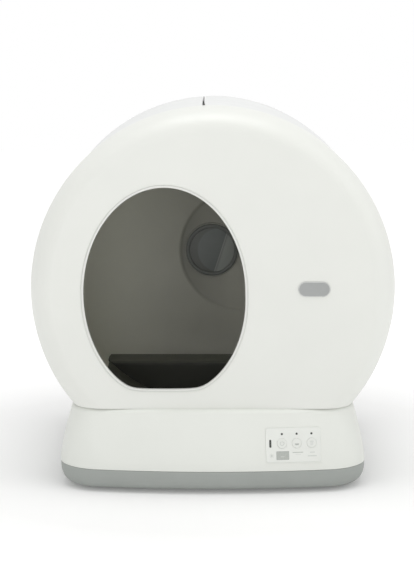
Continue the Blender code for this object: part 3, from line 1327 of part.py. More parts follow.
def make_control_panel():
    """The panel plate with its buttons, lights, label and the board behind them."""
    place, turn = panel_frame()
    pivot = add_pivot("pivot_panel", place, turn.to_euler())
    housing = bpy.data.objects["base_housing"]
    rear_reach = -(WALL + PANEL_POCKET + OVERRUN)

    half_u = PANEL_LENGTH / 2.0
    half_v = PANEL_TALL / 2.0
    outline = rounded_outline(half_u, half_v, PANEL_CORNER_RADIUS, PANEL_CORNER_STEPS)
    pocket_outline = rounded_outline(half_u + FIT, half_v + FIT, PANEL_CORNER_RADIUS + FIT, PANEL_CORNER_STEPS)
    pocket = add_object("panel_pocket_tool", prism_z(pocket_outline, -PANEL_POCKET, OVERRUN), None)
    through = add_object("panel_holes_tool", panel_holes(0.0, rear_reach), None)
    plate = add_object("panel_plate", prism_z(outline, FIT - PANEL_POCKET, FIT - PANEL_POCKET + PANEL_PLATE),
                       "white_shell", smooth=False)
    plate_holes = add_object("plate_holes_tool", panel_holes(OVERRUN, rear_reach), None)
    boolean(housing, pocket)
    boolean(housing, through)
    boolean(plate, plate_holes)

    plate_front = FIT - PANEL_POCKET + PANEL_PLATE
    switch_top = -(WALL + BUTTON_BACK_GAP + BUTTON_FLANGE_DEPTH + BUTTON_STEM_LENGTH + BUTTON_TRAVEL + FIT)
    board_front = switch_top - SWITCH_HEIGHT
    guide_rear = board_front + FIT
    board_middle = board_front - BOARD_THICKNESS / 2.0
    pipes = bmesh.new()
    board_parts = bmesh.new()
    for _, (u, v) in button_places():
        pipe = circle_outline(LIGHT_RADIUS, TINY_SIDES, (u, LIGHT_RISE))
        merge_into(pipes, prism_z(pipe, guide_rear, plate_front))
        key = rounded_outline(SWITCH_SIZE / 2.0, SWITCH_SIZE / 2.0, SWITCH_CORNER, 1, (u, v))
        merge_into(board_parts, prism_z(key, board_middle, switch_top))
    for side_u, side_v in ((-1, -1), (1, -1), (1, 1), (-1, 1)):
        spot = (side_u * (half_u - POST_RADIUS * 2.0), side_v * (half_v - POST_RADIUS * 2.0))
        post = prism_z(circle_outline(POST_RADIUS, TINY_SIDES, spot), board_middle, -(WALL + POST_WALL_GAP))
        merge_into(board_parts, post)
    bar = rounded_outline(BUTTON_PITCH + LIGHT_RADIUS * 2.0, LIGHT_BAR_HALF_HEIGHT, LIGHT_BAR_HALF_HEIGHT, 1,
                          (BUTTON_SHIFT_U, LIGHT_RISE))
    rod = prism_z(bar, guide_rear + LIGHT_RADIUS, guide_rear + LIGHT_RADIUS * 2.0)
    light_guide = add_object("light_guide", rod, "lens")
    pipes_tool = add_object("light_pipes_tool", pipes, None)
    slot = rounded_outline(SLOT_HALF_WIDTH, SLOT_HALF_HEIGHT, SLOT_HALF_WIDTH, PANEL_CORNER_STEPS,
                           (SLOT_SHIFT_U, BUTTON_RISE))
    window = add_object("indicator_window", prism_z(slot, -WALL, plate_front), "lens")
    board_outline = rounded_outline(half_u, half_v, PANEL_CORNER_RADIUS, 1)
    board = add_object("control_board", prism_z(board_outline, board_front - BOARD_THICKNESS, board_front),
                       "circuit_board", smooth=False)
    board_tool = add_object("board_parts_tool", board_parts, None)
    boolean(light_guide, pipes_tool, "UNION")
    boolean(board, board_tool, "UNION")
    carry(pivot, pocket, through, plate, plate_holes, light_guide, pipes_tool, window, board, board_tool)

    top = plate_front + BUTTON_PROUD
    flange = -(WALL + BUTTON_BACK_GAP)
    for name, (u, v) in button_places():
        flange_rear = flange - BUTTON_FLANGE_DEPTH
        stem_end = flange_rear - BUTTON_STEM_LENGTH
        wide = BUTTON_RADIUS + BUTTON_FLANGE
        profile = [(0.0, top), (BUTTON_RADIUS - BUTTON_CHAMFER, top),
                   (BUTTON_RADIUS, top - BUTTON_PROUD / 2.0), (BUTTON_RADIUS, flange), (wide, flange),
                   (wide, flange_rear), (BUTTON_STEM_RADIUS, flange_rear),
                   (BUTTON_STEM_RADIUS, stem_end), (0.0, stem_end)]
        data = turned(profile, MEDIUM_SIDES)
        bmesh.ops.rotate(data, verts=data.verts, cent=(0.0, 0.0, 0.0),
                         matrix=Matrix.Rotation(math.pi / 2.0, 3, "X"))
        button = add_object(name, data, "white_shell", (u, v, 0.0))
        carry(pivot, button)


def make_power_parts():
    """The supply board on its standoffs, the rear inlet and the odour filter."""
    low = PAN_FLOOR + FIT
    top = low + POWER_BOARD_STANDOFF
    half_x = POWER_BOARD_LENGTH / 2.0
    half_y = POWER_BOARD_WIDTH / 2.0
    board_top = top + BOARD_THICKNESS
    parts = bmesh.new()
    for side_x, side_y in ((-1, -1), (1, -1), (1, 1), (-1, 1)):
        spot = (side_x * (half_x - POST_RADIUS * 2.0), POWER_BOARD_Y + side_y * (half_y - POST_RADIUS * 2.0))
        post = circle_outline(POST_RADIUS, TINY_SIDES, spot)
        merge_into(parts, prism_z(post, low, top + BOARD_THICKNESS / 2.0))
    for share in POWER_PART_SHARES:
        spot = (half_x * share, POWER_BOARD_Y + half_y * share * POWER_PART_STAGGER_SHARE)
        block = rounded_outline(POWER_PART_SIZE / 2.0, POWER_PART_SIZE / 2.0, POWER_PART_CORNER, 1, spot)
        merge_into(parts, prism_z(block, top + BOARD_THICKNESS / 2.0, board_top + POWER_PART_HEIGHT))
    outline = rounded_outline(half_x, half_y, PANEL_CORNER_RADIUS, 1, (0.0, POWER_BOARD_Y))
    board = add_object("supply_board", prism_z(outline, top, board_top), "circuit_board", smooth=False)
    boolean(board, add_object("supply_parts_tool", parts, None), "UNION")

    seat = inlet_seat() + FIT
    front = seat - INLET_LENGTH
    socket = seat - INLET_SOCKET_DEPTH
    wide = INLET_RADIUS + INLET_FLANGE
    profile = [(0.0, front), (INLET_RADIUS, front), (INLET_RADIUS, seat), (wide, seat),
               (wide, seat + INLET_FLANGE_DEPTH), (INLET_BORE_RADIUS, seat + INLET_FLANGE_DEPTH),
               (INLET_BORE_RADIUS, socket), (0.0, socket)]
    add_object("power_inlet", turned(profile, MEDIUM_SIDES, (INLET_SHIFT_X, INLET_HEIGHT)), "dark_plastic")

    half_w = FILTER_WIDTH / 2.0
    half_l = FILTER_LENGTH / 2.0
    outline = [(FILTER_X - half_w, FILTER_Y - half_l), (FILTER_X - half_w, FILTER_Y + half_l)]
    ribs = 2 * FILTER_RIBS
    for index in range(ribs + 1):
        depth = FILTER_RIB_DEPTH if index % 2 else 0.0
        outline.append((FILTER_X + half_w - depth, FILTER_Y + half_l - FILTER_LENGTH * index / ribs))
    add_object("odour_filter", prism_z(outline, low, low + FILTER_HEIGHT), "carbon", smooth=False)


def build():
    """Build every piece, then hang the moving ones on their axes."""
    clear_scene()
    make_base_pan()
    make_feet()
    make_load_cells()
    make_base_housing()
    make_front_cover()
    make_entrance_ring()
    make_badge_plate()
    make_shell("shell_left", -1.0)
    make_shell("shell_right", 1.0)
    make_seam_strip()
    make_drum_seal()

    drum_pivot = add_pivot("pivot_drum", (0.0, 0.0, DRUM_AXIS_HEIGHT))
    carry(drum_pivot, *make_drum(), make_sieve(), make_liner(), *make_ring_gear(), make_hub_bush())
    pinion_pivot = add_pivot("pivot_pinion", (PINION_X, 0.0, PINION_Z))
    carry(pinion_pivot, *make_pinion())

    make_rollers()
    make_roller_brackets()
    make_roller_axles()
    make_drive()
    make_rear_frame()
    make_hub()
    make_drawer_tray()
    make_drawer_front()
    make_drawer_rails()
    make_control_panel()
    make_power_parts()


build()
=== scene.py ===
"""Looks of the self-cleaning litter box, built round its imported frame.

Metres, +Z up, front towards -Y, as in the frame. A piece takes its place from the frame's own boxes, and its
other sizes are the real ones named in its class.
"""

import logging
import math
from contextlib import contextmanager
from dataclasses import dataclass, field
from enum import Enum
from typing import Iterable, Iterator, Optional, Sequence

import bmesh
import bpy
import numpy as np
from mathutils import Euler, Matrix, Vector


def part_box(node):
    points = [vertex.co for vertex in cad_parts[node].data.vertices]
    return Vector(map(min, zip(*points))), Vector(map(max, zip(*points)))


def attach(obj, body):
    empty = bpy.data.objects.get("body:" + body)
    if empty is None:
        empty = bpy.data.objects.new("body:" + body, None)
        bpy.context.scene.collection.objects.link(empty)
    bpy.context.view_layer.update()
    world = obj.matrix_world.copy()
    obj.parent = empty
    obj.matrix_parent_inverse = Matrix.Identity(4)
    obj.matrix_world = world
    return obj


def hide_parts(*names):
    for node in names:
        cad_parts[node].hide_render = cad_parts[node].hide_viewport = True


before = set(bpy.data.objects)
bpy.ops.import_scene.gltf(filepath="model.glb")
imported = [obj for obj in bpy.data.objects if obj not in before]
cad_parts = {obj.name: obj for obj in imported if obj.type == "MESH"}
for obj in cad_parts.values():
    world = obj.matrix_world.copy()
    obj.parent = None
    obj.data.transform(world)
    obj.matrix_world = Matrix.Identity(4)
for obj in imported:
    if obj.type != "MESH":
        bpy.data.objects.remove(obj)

log = logging.getLogger("litter_box")

Pair = tuple[float, float]
Triple = tuple[float, float, float]
Piece = bpy.types.Object
Socket = bpy.types.NodeSocket

MERGE_DISTANCE = 2e-6
SHARP_ANGLE = math.radians(35.0)
FIT = 0.0003
SOFT = 0.0006
CLEAR = 0.004
FULL_TURN = 2.0 * math.pi


class Body(Enum):
    """The moving groups of the frame that a new piece rides on."""

    BASE = "base"
    DRUM = "drum_body"
    DRAWER = "drawer_body"
    POWER = "button_power_body"
    CLEAN = "button_clean_body"
    EMPTY = "button_empty_body"


class Slot(Enum):
    """The record's material slots, passed with each new piece and not read."""

    WHITE = "white_shell"
    PAN = "grey_pan"
    DRUM = "grey_drum"
    LINER = "black_liner"
    DARK = "dark_plastic"
    LENS = "lens"
    BADGE = "badge_grey"


@dataclass(frozen=True)
class Extent:
    """The lowest and highest corners of a piece of the frame."""

    low: Vector
    high: Vector

    @classmethod
    def of(cls, node: str) -> "Extent":
        """Read a node's box at rest from the frame."""
        return cls(*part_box(node))

    @property
    def centre(self) -> Vector:
        """The middle of the box."""
        return (self.low + self.high) / 2.0

    @property
    def half(self) -> Vector:
        """Half of the box's three lengths."""
        return (self.high - self.low) / 2.0


# Building meshes

@contextmanager
def edited(piece: Piece) -> Iterator[bmesh.types.BMesh]:
    """Open a piece's mesh for a change, then write it back, smooth but for its sharp edges.

    Args:
        piece: the piece.

    Yields:
        The mesh to change.
    """
    data = bmesh.new()
    data.from_mesh(piece.data)
    yield data
    data.to_mesh(piece.data)
    data.free()
    shade(piece)


def shade(piece: Piece) -> None:
    """Shade a piece smoothly but for its sharp edges."""
    piece.data.shade_smooth()
    piece.data.set_sharp_from_angle(angle=SHARP_ANGLE)


def surface(name: str, grid: np.ndarray, round_rows: bool = False, round_columns: bool = True,
            capped: bool = False) -> Piece:
    """Make a piece from a grid of points, its cells being its faces, closed at its seams and facing outwards.

    Args:
        name: the piece's name.
        grid: points by row, column and axis.
        round_rows: whether the last row joins the first.
        round_columns: whether each row's last point joins its first.
        capped: whether a flat face closes the first row and the last.

    Returns:
        The piece, at the origin.
    """
    rows, columns = grid.shape[:2]
    i = np.arange(rows if round_rows else rows - 1)[:, None]
    j = np.arange(columns if round_columns else columns - 1)[None, :]
    next_i, next_j = (i + 1) % rows * columns, (j + 1) % columns
    cells = np.broadcast_arrays(i * columns + j, i * columns + next_j, next_i + next_j, next_i + j)
    faces = np.stack(cells, axis=-1).reshape(-1, 4).tolist()
    if capped:
        faces += [list(range(columns)), list(range((rows - 1) * columns, rows * columns))]
    mesh = bpy.data.meshes.new(name)
    mesh.from_pydata(grid.reshape(-1, 3), [], faces)
    made = bpy.data.objects.new(name, mesh)
    bpy.context.scene.collection.objects.link(made)
    with edited(made) as data:
        bmesh.ops.remove_doubles(data, verts=data.verts, dist=MERGE_DISTANCE)
        bmesh.ops.dissolve_degenerate(data, edges=data.edges, dist=MERGE_DISTANCE)
        bmesh.ops.recalc_face_normals(data, faces=data.faces)
    return made


def turned(profile: Sequence[Pair], steps: int, axis: Pair) -> np.ndarray:
    """Turn a (radius, y) profile about an axis along Y.

    Formula: x is the axis's x plus radius times cosine, z the axis's z plus radius times sine.

    Args:
        profile: radius and y of each point.
        steps: points round the circle.
        axis: the axis's x and z.

    Returns:
        The grid of points, a row for each point of the profile.
    """
    radius, along = np.array(profile).T[:, :, None]
    angle = np.linspace(0.0, FULL_TURN, steps, endpoint=False)[None, :]
    along = np.broadcast_to(along, (len(profile), steps))
    return np.stack([axis[0] + radius * np.cos(angle), along, axis[1] + radius * np.sin(angle)], axis=-1)


def lifted(outline: np.ndarray, level: float) -> np.ndarray:
    """Give a flat outline a third coordinate."""
    return np.column_stack([outline, np.full(len(outline), level)])


@dataclass(frozen=True)
class Plane:
    """A flat place with its own right, up and outward lines."""

    origin: Vector
    across: Vector
    up: Vector
    out: Vector

    def stack(self, name: str, levels: Iterable[tuple[np.ndarray, float]]) -> Piece:
        """Join outlines, each lifted along the outward line, and close both ends.

        Args:
            name: the piece's name.
            levels: each outline, of right and up distances and as many points, with its outward distance.

        Returns:
            The piece.
        """
        turn = np.array([self.across, self.up, self.out])
        rows = [lifted(outline, level) @ turn + np.array(self.origin) for outline, level in levels]
        return surface(name, np.stack(rows), capped=True)

    def prism(self, name: str, outline: np.ndarray, low: float, high: float) -> Piece:
        """Give an outline thickness from one outward distance to another."""
        return self.stack(name, [(outline, low), (outline, high)])


ORIGIN, X, Y, Z = Vector((0, 0, 0)), Vector((1, 0, 0)), Vector((0, 1, 0)), Vector((0, 0, 1))
FRONT, REAR = Plane(ORIGIN, X, Z, -Y), Plane(ORIGIN, -X, Z, Y)
RIGHT, FLOOR = Plane(ORIGIN, Y, Z, X), Plane(ORIGIN, X, Y, Z)


def circle(radius: float, count: int, centre: Pair = (0.0, 0.0)) -> np.ndarray:
    """Return points round a circle, anticlockwise."""
    angle = np.linspace(0.0, FULL_TURN, count, endpoint=False)
    return np.column_stack([centre[0] + radius * np.cos(angle), centre[1] + radius * np.sin(angle)])


def rounded(half_x: float, half_y: float, radius: float, steps: int, centre: Pair = (0.0, 0.0)) -> np.ndarray:
    """Return a rectangle with round corners, anticlockwise from its right side.

    Formula: each corner is a quarter circle about a point set in by the radius from both sides.

    Args:
        half_x: half its width.
        half_y: half its height.
        radius: the corners' radius.
        steps: cells in each corner.
        centre: its middle.

    Returns:
        One line of two coordinates for each point.
    """
    radius = min(radius, half_x, half_y)
    corner = np.repeat(np.arange(4), steps + 1)
    angle = math.pi / 2.0 * (corner + np.tile(np.linspace(0.0, 1.0, steps + 1), 4))
    side_x = np.array([1.0, -1.0, -1.0, 1.0])[corner]
    side_y = np.array([1.0, 1.0, -1.0, -1.0])[corner]
    return np.column_stack([centre[0] + side_x * (half_x - radius) + radius * np.cos(angle),
                            centre[1] + side_y * (half_y - radius) + radius * np.sin(angle)])


def quarter(steps: int) -> np.ndarray:
    """Return angles from nought to a right angle, both ends included."""
    return np.linspace(0.0, math.pi / 2.0, steps + 1)


def bend(start: Pair, end: Pair, steps: int, power: float = 1.0) -> list[list[float]]:
    """Return a quarter ellipse that leaves its start along the first axis and meets its end along the second.

    Formula: the first coordinate goes with the sine and the second with one less the cosine.

    Args:
        start: the first point.
        end: the last point.
        steps: cells along it.
        power: what sine and cosine are raised to, below one for a fuller corner.

    Returns:
        Its points.
    """
    angle = quarter(steps)
    return np.column_stack([start[0] + (end[0] - start[0]) * np.sin(angle) ** power,
                            start[1] + (end[1] - start[1]) * (1.0 - np.cos(angle) ** power)]).tolist()


def bake(piece: Piece) -> None:
    """Apply a piece's modifiers to its mesh.

    Args:
        piece: the piece.
    """
    bpy.context.view_layer.update()
    seen = piece.evaluated_get(bpy.context.evaluated_depsgraph_get())
    made, old = bpy.data.meshes.new_from_object(seen), piece.data
    piece.modifiers.clear()
    piece.data = made
    made.name = piece.name
    bpy.data.meshes.remove(old)
    shade(piece)


def cut(target: Piece, *tools: Piece) -> None:
    """Cut solids out of a piece and delete them.

    Args:
        target: the piece.
        tools: the solids to take away.
    """
    for tool in tools:
        step = target.modifiers.new("cut", "BOOLEAN")
        step.operation = "DIFFERENCE"
        step.solver = "EXACT"
        step.object = tool
    bake(target)
    for mesh in [tool.data for tool in tools]:
        bpy.data.meshes.remove(mesh)


def slice_off(piece: Piece, point: Triple, normal: Triple) -> None:
    """Cut away what lies past a plane and close the cut with a flat face.

    Args:
        piece: the piece.
        point: a point of the plane.
        normal: the side that goes.
    """
    with edited(piece) as data:
        everything = data.verts[:] + data.edges[:] + data.faces[:]
        done = bmesh.ops.bisect_plane(data, geom=everything, dist=MERGE_DISTANCE, plane_co=point,
                                      plane_no=normal, clear_outer=True)
        edges = [item for item in done["geom_cut"] if isinstance(item, bmesh.types.BMEdge)]
        bmesh.ops.holes_fill(data, edges=edges, sides=0)
        bmesh.ops.recalc_face_normals(data, faces=data.faces)


def settle(piece: Piece, body: Body, slot: Slot, finish: "Finish", *nodes: str) -> Piece:
    """Give a new piece its finish and its body, and hide the nodes that it stands for.

    Args:
        piece: the piece.
        body: the body that it rides on.
        slot: not used.
        finish: what it is made of.
        nodes: the frame's nodes that it replaces.

    Returns:
        The same piece.
    """
    piece.data.materials.clear()
    piece.data.materials.append(finish.material())
    if nodes:
        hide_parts(*nodes)
    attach(piece, body.value)
    log.info("%s rides on %s, %d faces", piece.name, body.value, len(piece.data.polygons))
    return piece


# Finishes

class Nodes:
    """A node tree, built a step at a time."""

    def __init__(self, tree: bpy.types.NodeTree) -> None:
        """Start with an empty tree."""
        self.tree = tree
        tree.nodes.clear()

    def add(self, kind: str, **plain: float) -> bpy.types.Node:
        """Add a node of a kind, with plain inputs named with _ for a space."""
        made = self.tree.nodes.new("ShaderNode" + kind)
        self.set(made, **plain)
        return made

    def set(self, node: bpy.types.Node, **plain: float) -> None:
        """Set plain inputs of a node, named with _ for a space."""
        for name, value in plain.items():
            node.inputs[name.replace("_", " ")].default_value = value

    def join(self, source: Socket, target: Socket) -> None:
        """Link two sockets."""
        self.tree.links.new(source, target)

    def step(self, kind: str, operation: str, first: Socket,
             second: "Socket | float | Triple | None" = None, result: str = "Value") -> Socket:
        """Return one step of arithmetic.

        Args:
            kind: Math or VectorMath.
            operation: what the step does.
            first: what it works on.
            second: its other side, where it has one.
            result: the output that is read.

        Returns:
            That output.
        """
        made = self.add(kind)
        made.operation = operation
        self.join(first, made.inputs[0])
        if isinstance(second, Socket):
            self.join(second, made.inputs[1])
        elif second is not None:
            made.inputs[1].default_value = second
        return made.outputs[result]

    def ranged(self, value: Socket, low: float, high: float, start: float = 0.3, end: float = 0.7) -> Socket:
        """Map a value from one range to another and hold it there.

        Args:
            value: what is mapped.
            low: the result at the start of the range.
            high: the result at its end.
            start: where the range starts.
            end: where it ends.

        Returns:
            The result's socket.
        """
        made = self.add("MapRange", From_Min=start, From_Max=end, To_Min=low, To_Max=high)
        self.join(value, made.inputs["Value"])
        return made.outputs["Result"]


class Shader(Nodes):
    """A material's node tree."""

    def __init__(self, name: str) -> None:
        """Start a material with an empty surface."""
        self.made = bpy.data.materials.new(name)
        self.made.use_nodes = True
        super().__init__(self.made.node_tree)
        self.surface = self.add("BsdfPrincipled")
        self.join(self.surface.outputs["BSDF"], self.add("OutputMaterial").inputs["Surface"])
        self.coordinates = self.add("TexCoord").outputs
        self.place = self.coordinates["Object"]

    def feed(self, name: str, source: Socket) -> None:
        """Link a socket to an input of the surface, in place of what fed it."""
        self.join(source, self.surface.inputs[name])

    def under(self, name: str) -> Socket:
        """Return what feeds an input of the surface so far."""
        return self.surface.inputs[name].links[0].from_socket

    def noise(self, size: float, detail: float = 2.0, stretch: Triple = (1.0, 1.0, 1.0)) -> Socket:
        """Return a noise over the piece's own coordinates.

        Args:
            size: metres across one patch of it.
            detail: finer layers in it.
            stretch: how much longer a patch is along each axis.

        Returns:
            Its value, mostly between 0.3 and 0.7.
        """
        scaled = self.add("Mapping", Scale=tuple(1.0 / (size * share) for share in stretch))
        self.join(self.place, scaled.inputs["Vector"])
        made = self.add("TexNoise", Scale=1.0, Detail=detail)
        self.join(scaled.outputs["Vector"], made.inputs["Vector"])
        return made.outputs["Fac"]

    def cells(self, scale: float, distance: str = "EUCLIDEAN") -> Socket:
        """Return how far the nearest of scattered points lies, in shares of their spacing."""
        made = self.add("TexVoronoi", Scale=scale)
        made.distance = distance
        self.join(self.place, made.inputs["Vector"])
        return made.outputs["Distance"]

    def reach(self, centre: Triple) -> Socket:
        """Return the distance from a line along Y through a point at Y nought."""
        flat = self.step("VectorMath", "MULTIPLY", self.place, (1.0, 0.0, 1.0), "Vector")
        return self.step("VectorMath", "DISTANCE", flat, centre)

    def mixed(self, factor: Socket, first: "Triple | Socket", second: "Triple | Socket") -> Socket:
        """Mix two colours, each a plain colour or a socket.

        Args:
            factor: nought for the first, one for the second.
            first: the first colour.
            second: the second colour.

        Returns:
            The mixed colour.
        """
        made = self.add("Mix")
        made.data_type = "RGBA"
        self.join(factor, made.inputs["Factor"])
        for name, colour in (("A", first), ("B", second)):
            socket = next(item for item in made.inputs if item.name == name and item.type == "RGBA")
            if isinstance(colour, tuple):
                socket.default_value = (*colour, 1.0)
            else:
                self.join(colour, socket)
        return next(item for item in made.outputs if item.type == "RGBA")

    def tint(self, factor: Socket, colour: Triple) -> None:
        """Lay a colour over the surface's present one."""
        self.feed("Base Color", self.mixed(factor, self.under("Base Color"), colour))

    def relief(self, height: Socket, depth: float, over: Optional[Socket] = None) -> Socket:
        """Give the surface a relief.

        Args:
            height: where it is high and low.
            depth: its depth in metres.
            over: the relief that it lies on, where there is one.

        Returns:
            The relief's normal.
        """
        made = self.add("Bump", Strength=1.0, Distance=depth)
        self.join(height, made.inputs["Height"])
        if over is not None:
            self.join(over, made.inputs["Normal"])
        self.feed("Normal", made.outputs["Normal"])
        return made.outputs["Normal"]


@dataclass(frozen=True)
class Finish:
    """A surface whose colour and roughness wander a little, with a fine grain."""

    name: str
    colour: Triple
    drift: float = 0.03
    drift_size: float = 0.07
    roughness: float = 0.45
    roughness_drift: float = 0.06
    grain_size: float = 0.0008
    grain_depth: float = 0.00003

    def material(self) -> bpy.types.Material:
        """Return the material, made the first time that it is asked for."""
        return bpy.data.materials.get(self.name) or self.paint().made

    def shaded(self, share: float) -> Triple:
        """Return the colour made lighter or darker by a share."""
        return tuple(part * share for part in self.colour)

    def paint(self) -> Shader:
        """Build the colour, roughness and grain that all finishes have."""
        shader = Shader(self.name)
        wide = shader.noise(self.drift_size, 3.0)
        speckle = shader.noise(self.grain_size * 3.0, 1.0)
        shader.feed("Base Color", shader.mixed(shader.ranged(wide, 0.0, 1.0), self.shaded(1.0 - self.drift),
                                               self.shaded(1.0 + self.drift)))
        shader.tint(shader.ranged(speckle, 0.0, 0.35, 0.55, 0.75), self.shaded(1.0 - 1.5 * self.drift))
        shader.feed("Roughness", shader.ranged(shader.noise(self.drift_size * 0.4, 4.0),
                                               self.roughness - self.roughness_drift,
                                               self.roughness + self.roughness_drift))
        shader.relief(shader.noise(self.grain_size, 2.0), self.grain_depth)
        return shader


@dataclass(frozen=True)
class GlossPlastic(Finish):
    """Moulded plastic, spark-eroded to a satin, with flow marks and hairline rubs."""

    drift: float = 0.008
    flow_size: float = 0.05
    flow_depth: float = 0.00012
    rub_size: float = 0.004
    rub_depth: float = 0.000008
    coat: float = 0.0

    def paint(self) -> Shader:
        """Add slow flow marks and stretched rubs to the plain surface."""
        shader = super().paint()
        flow = shader.relief(shader.noise(self.flow_size, 1.0, (1.0, 1.0, 2.2)), self.flow_depth,
                             shader.under("Normal"))
        shader.relief(shader.noise(self.rub_size, 3.0, (6.0, 1.0, 0.15)), self.rub_depth, flow)
        shader.set(shader.surface, Coat_Weight=self.coat, Coat_Roughness=0.25, Specular_IOR_Level=0.5)
        return shader


@dataclass(frozen=True)
class DustyPlastic(Finish):
    """Matt plastic with a little pale dust laid over it in patches."""

    dust: Triple = (0.30, 0.29, 0.26)
    dust_share: float = 0.12

    def paint(self) -> Shader:
        """Lay patches of dust over the plain surface."""
        shader = super().paint()
        shader.tint(shader.ranged(shader.noise(self.drift_size * 0.6, 5.0), 0.0, self.dust_share, 0.45, 0.75),
                    self.dust)
        shader.set(shader.surface, Specular_IOR_Level=0.35)
        return shader


@dataclass(frozen=True)
class Felt(Finish):
    """Pressed felt, with short fibres and a soft sheen."""

    fibre: float = 0.0006
    fibre_depth: float = 0.0003

    def paint(self) -> Shader:
        """Cross two sets of fibres and add sheen."""
        shader = super().paint()
        one = shader.relief(shader.noise(self.fibre, 2.0, (6.0, 1.0, 1.0)), self.fibre_depth)
        shader.relief(shader.noise(self.fibre, 2.0, (1.0, 1.0, 6.0)), self.fibre_depth, one)
        shader.set(shader.surface, Sheen_Weight=0.35, Sheen_Roughness=0.6)
        return shader


@dataclass(frozen=True)
class Metal(Finish):
    """Drawn or turned metal with fine lines along one axis."""

    lines: Triple = (8.0, 1.0, 1.0)

    def paint(self) -> Shader:
        """Make the shader metallic and draw the lines in its grain and roughness."""
        shader = super().paint()
        streaks = shader.noise(0.0007, 3.0, self.lines)
        shader.relief(streaks, 0.00002)
        shader.feed("Roughness", shader.ranged(streaks, self.roughness - 0.08, self.roughness + 0.1))
        shader.set(shader.surface, Metallic=1.0)
        return shader


@dataclass(frozen=True)
class Board(Finish):
    """A circuit board with copper tracks under its green mask."""

    track: Triple = (0.10, 0.22, 0.07)
    tracks_per_metre: float = 260.0

    def paint(self) -> Shader:
        """Draw square cells of tracks under the mask."""
        shader = super().paint()
        line = shader.ranged(shader.cells(self.tracks_per_metre, "MANHATTAN"), 0.0, 0.9, 0.30, 0.34)
        shader.tint(line, self.track)
        shader.relief(line, 0.00004)
        return shader


@dataclass(frozen=True)
class Granules(Finish):
    """Carbon granules packed in a case."""

    size: float = 0.0022

    def paint(self) -> Shader:
        """Break the surface into granules, with painted light on their middles and painted shade between them.
        """
        shader = super().paint()
        height = shader.cells(1.0 / self.size)
        shader.relief(height, 0.0012)
        # Painted light and shade: each granule is lighter at its middle and darker where it meets the next.
        shader.feed("Base Color", shader.mixed(shader.ranged(height, 0.0, 1.0, 0.1, 0.7), self.shaded(1.8),
                                               self.shaded(0.5)))
        return shader


@dataclass(frozen=True)
class Paper(Finish):
    """Studio paper, lifted to plain white away from the shadow."""

    near: float = 0.45
    far: float = 1.1
    lift: float = 0.12
    glow: float = 0.48

    def paint(self) -> Shader:
        """Add a little light of its own, more of it further out."""
        shader = super().paint()
        away = shader.step("VectorMath", "LENGTH", shader.place)
        shader.set(shader.surface, Emission_Color=(1.0, 1.0, 1.0, 1.0))
        shader.feed("Emission Strength", shader.ranged(away, self.lift, self.glow, self.near, self.far))
        return shader


@dataclass(frozen=True)
class DrumPlastic(DustyPlastic):
    """The bowl's plastic, with painted light on its sides and painted shade inside its round dish."""

    centre: Triple = (0.049, 0.0, 0.294)
    edge: float = 0.103
    dish_shade_tone: float = 0.64
    side: Pair = (0.010, 0.200)
    side_light_tone: float = 1.70
    fade: Pair = (-0.050, 0.030)
    behind: Pair = (0.195, 0.200)

    def paint(self) -> Shader:
        """Paint shade over the dish, most on its left and fading across it, and paint light on the bowl's
        sides.
        """
        shader = super().paint()
        # Mask of the dish for its painted shade, falling off at the dish's edge.
        inside = shader.ranged(shader.reach(self.centre), 1.0, 0.0, self.edge - 0.003, self.edge + 0.002)
        parts = shader.add("SeparateXYZ")
        shader.join(shader.place, parts.inputs["Vector"])
        # Painted light: the bowl grows lighter away from its middle, towards its sides.
        side_light_mask = shader.ranged(shader.step("Math", "ABSOLUTE", parts.outputs["X"]), 0.0, 1.0, *self.side)
        side_light_mask.node.interpolation_type = "SMOOTHSTEP"
        shader.tint(side_light_mask, self.shaded(self.side_light_tone))
        for share in (shader.ranged(parts.outputs["X"], 1.0, 0.0, *self.fade),
                      shader.ranged(parts.outputs["Y"], 0.0, 1.0, *self.behind)):
            inside = shader.step("Math", "MULTIPLY", inside, share)
        # Painted shade: the dish on the rear wall is darkened, most on its left and fading to its right.
        shader.tint(inside, self.shaded(self.dish_shade_tone))
        return shader


@dataclass(frozen=True)
class LinerPlastic(DustyPlastic):
    """Black plastic whose upward faces are lightened by painted light from above."""

    painted_top_light: Triple = (0.165, 0.168, 0.145)

    def paint(self) -> Shader:
        """Paint an even light on faces that look up."""
        shader = super().paint()
        facing = shader.add("SeparateXYZ")
        shader.join(shader.coordinates["Normal"], facing.inputs["Vector"])
        # Painted light: faces that look up are made lighter, as light from above would make them.
        shader.tint(shader.ranged(facing.outputs["Z"], 0.0, 1.0, 0.35, 0.95), self.painted_top_light)
        return shader


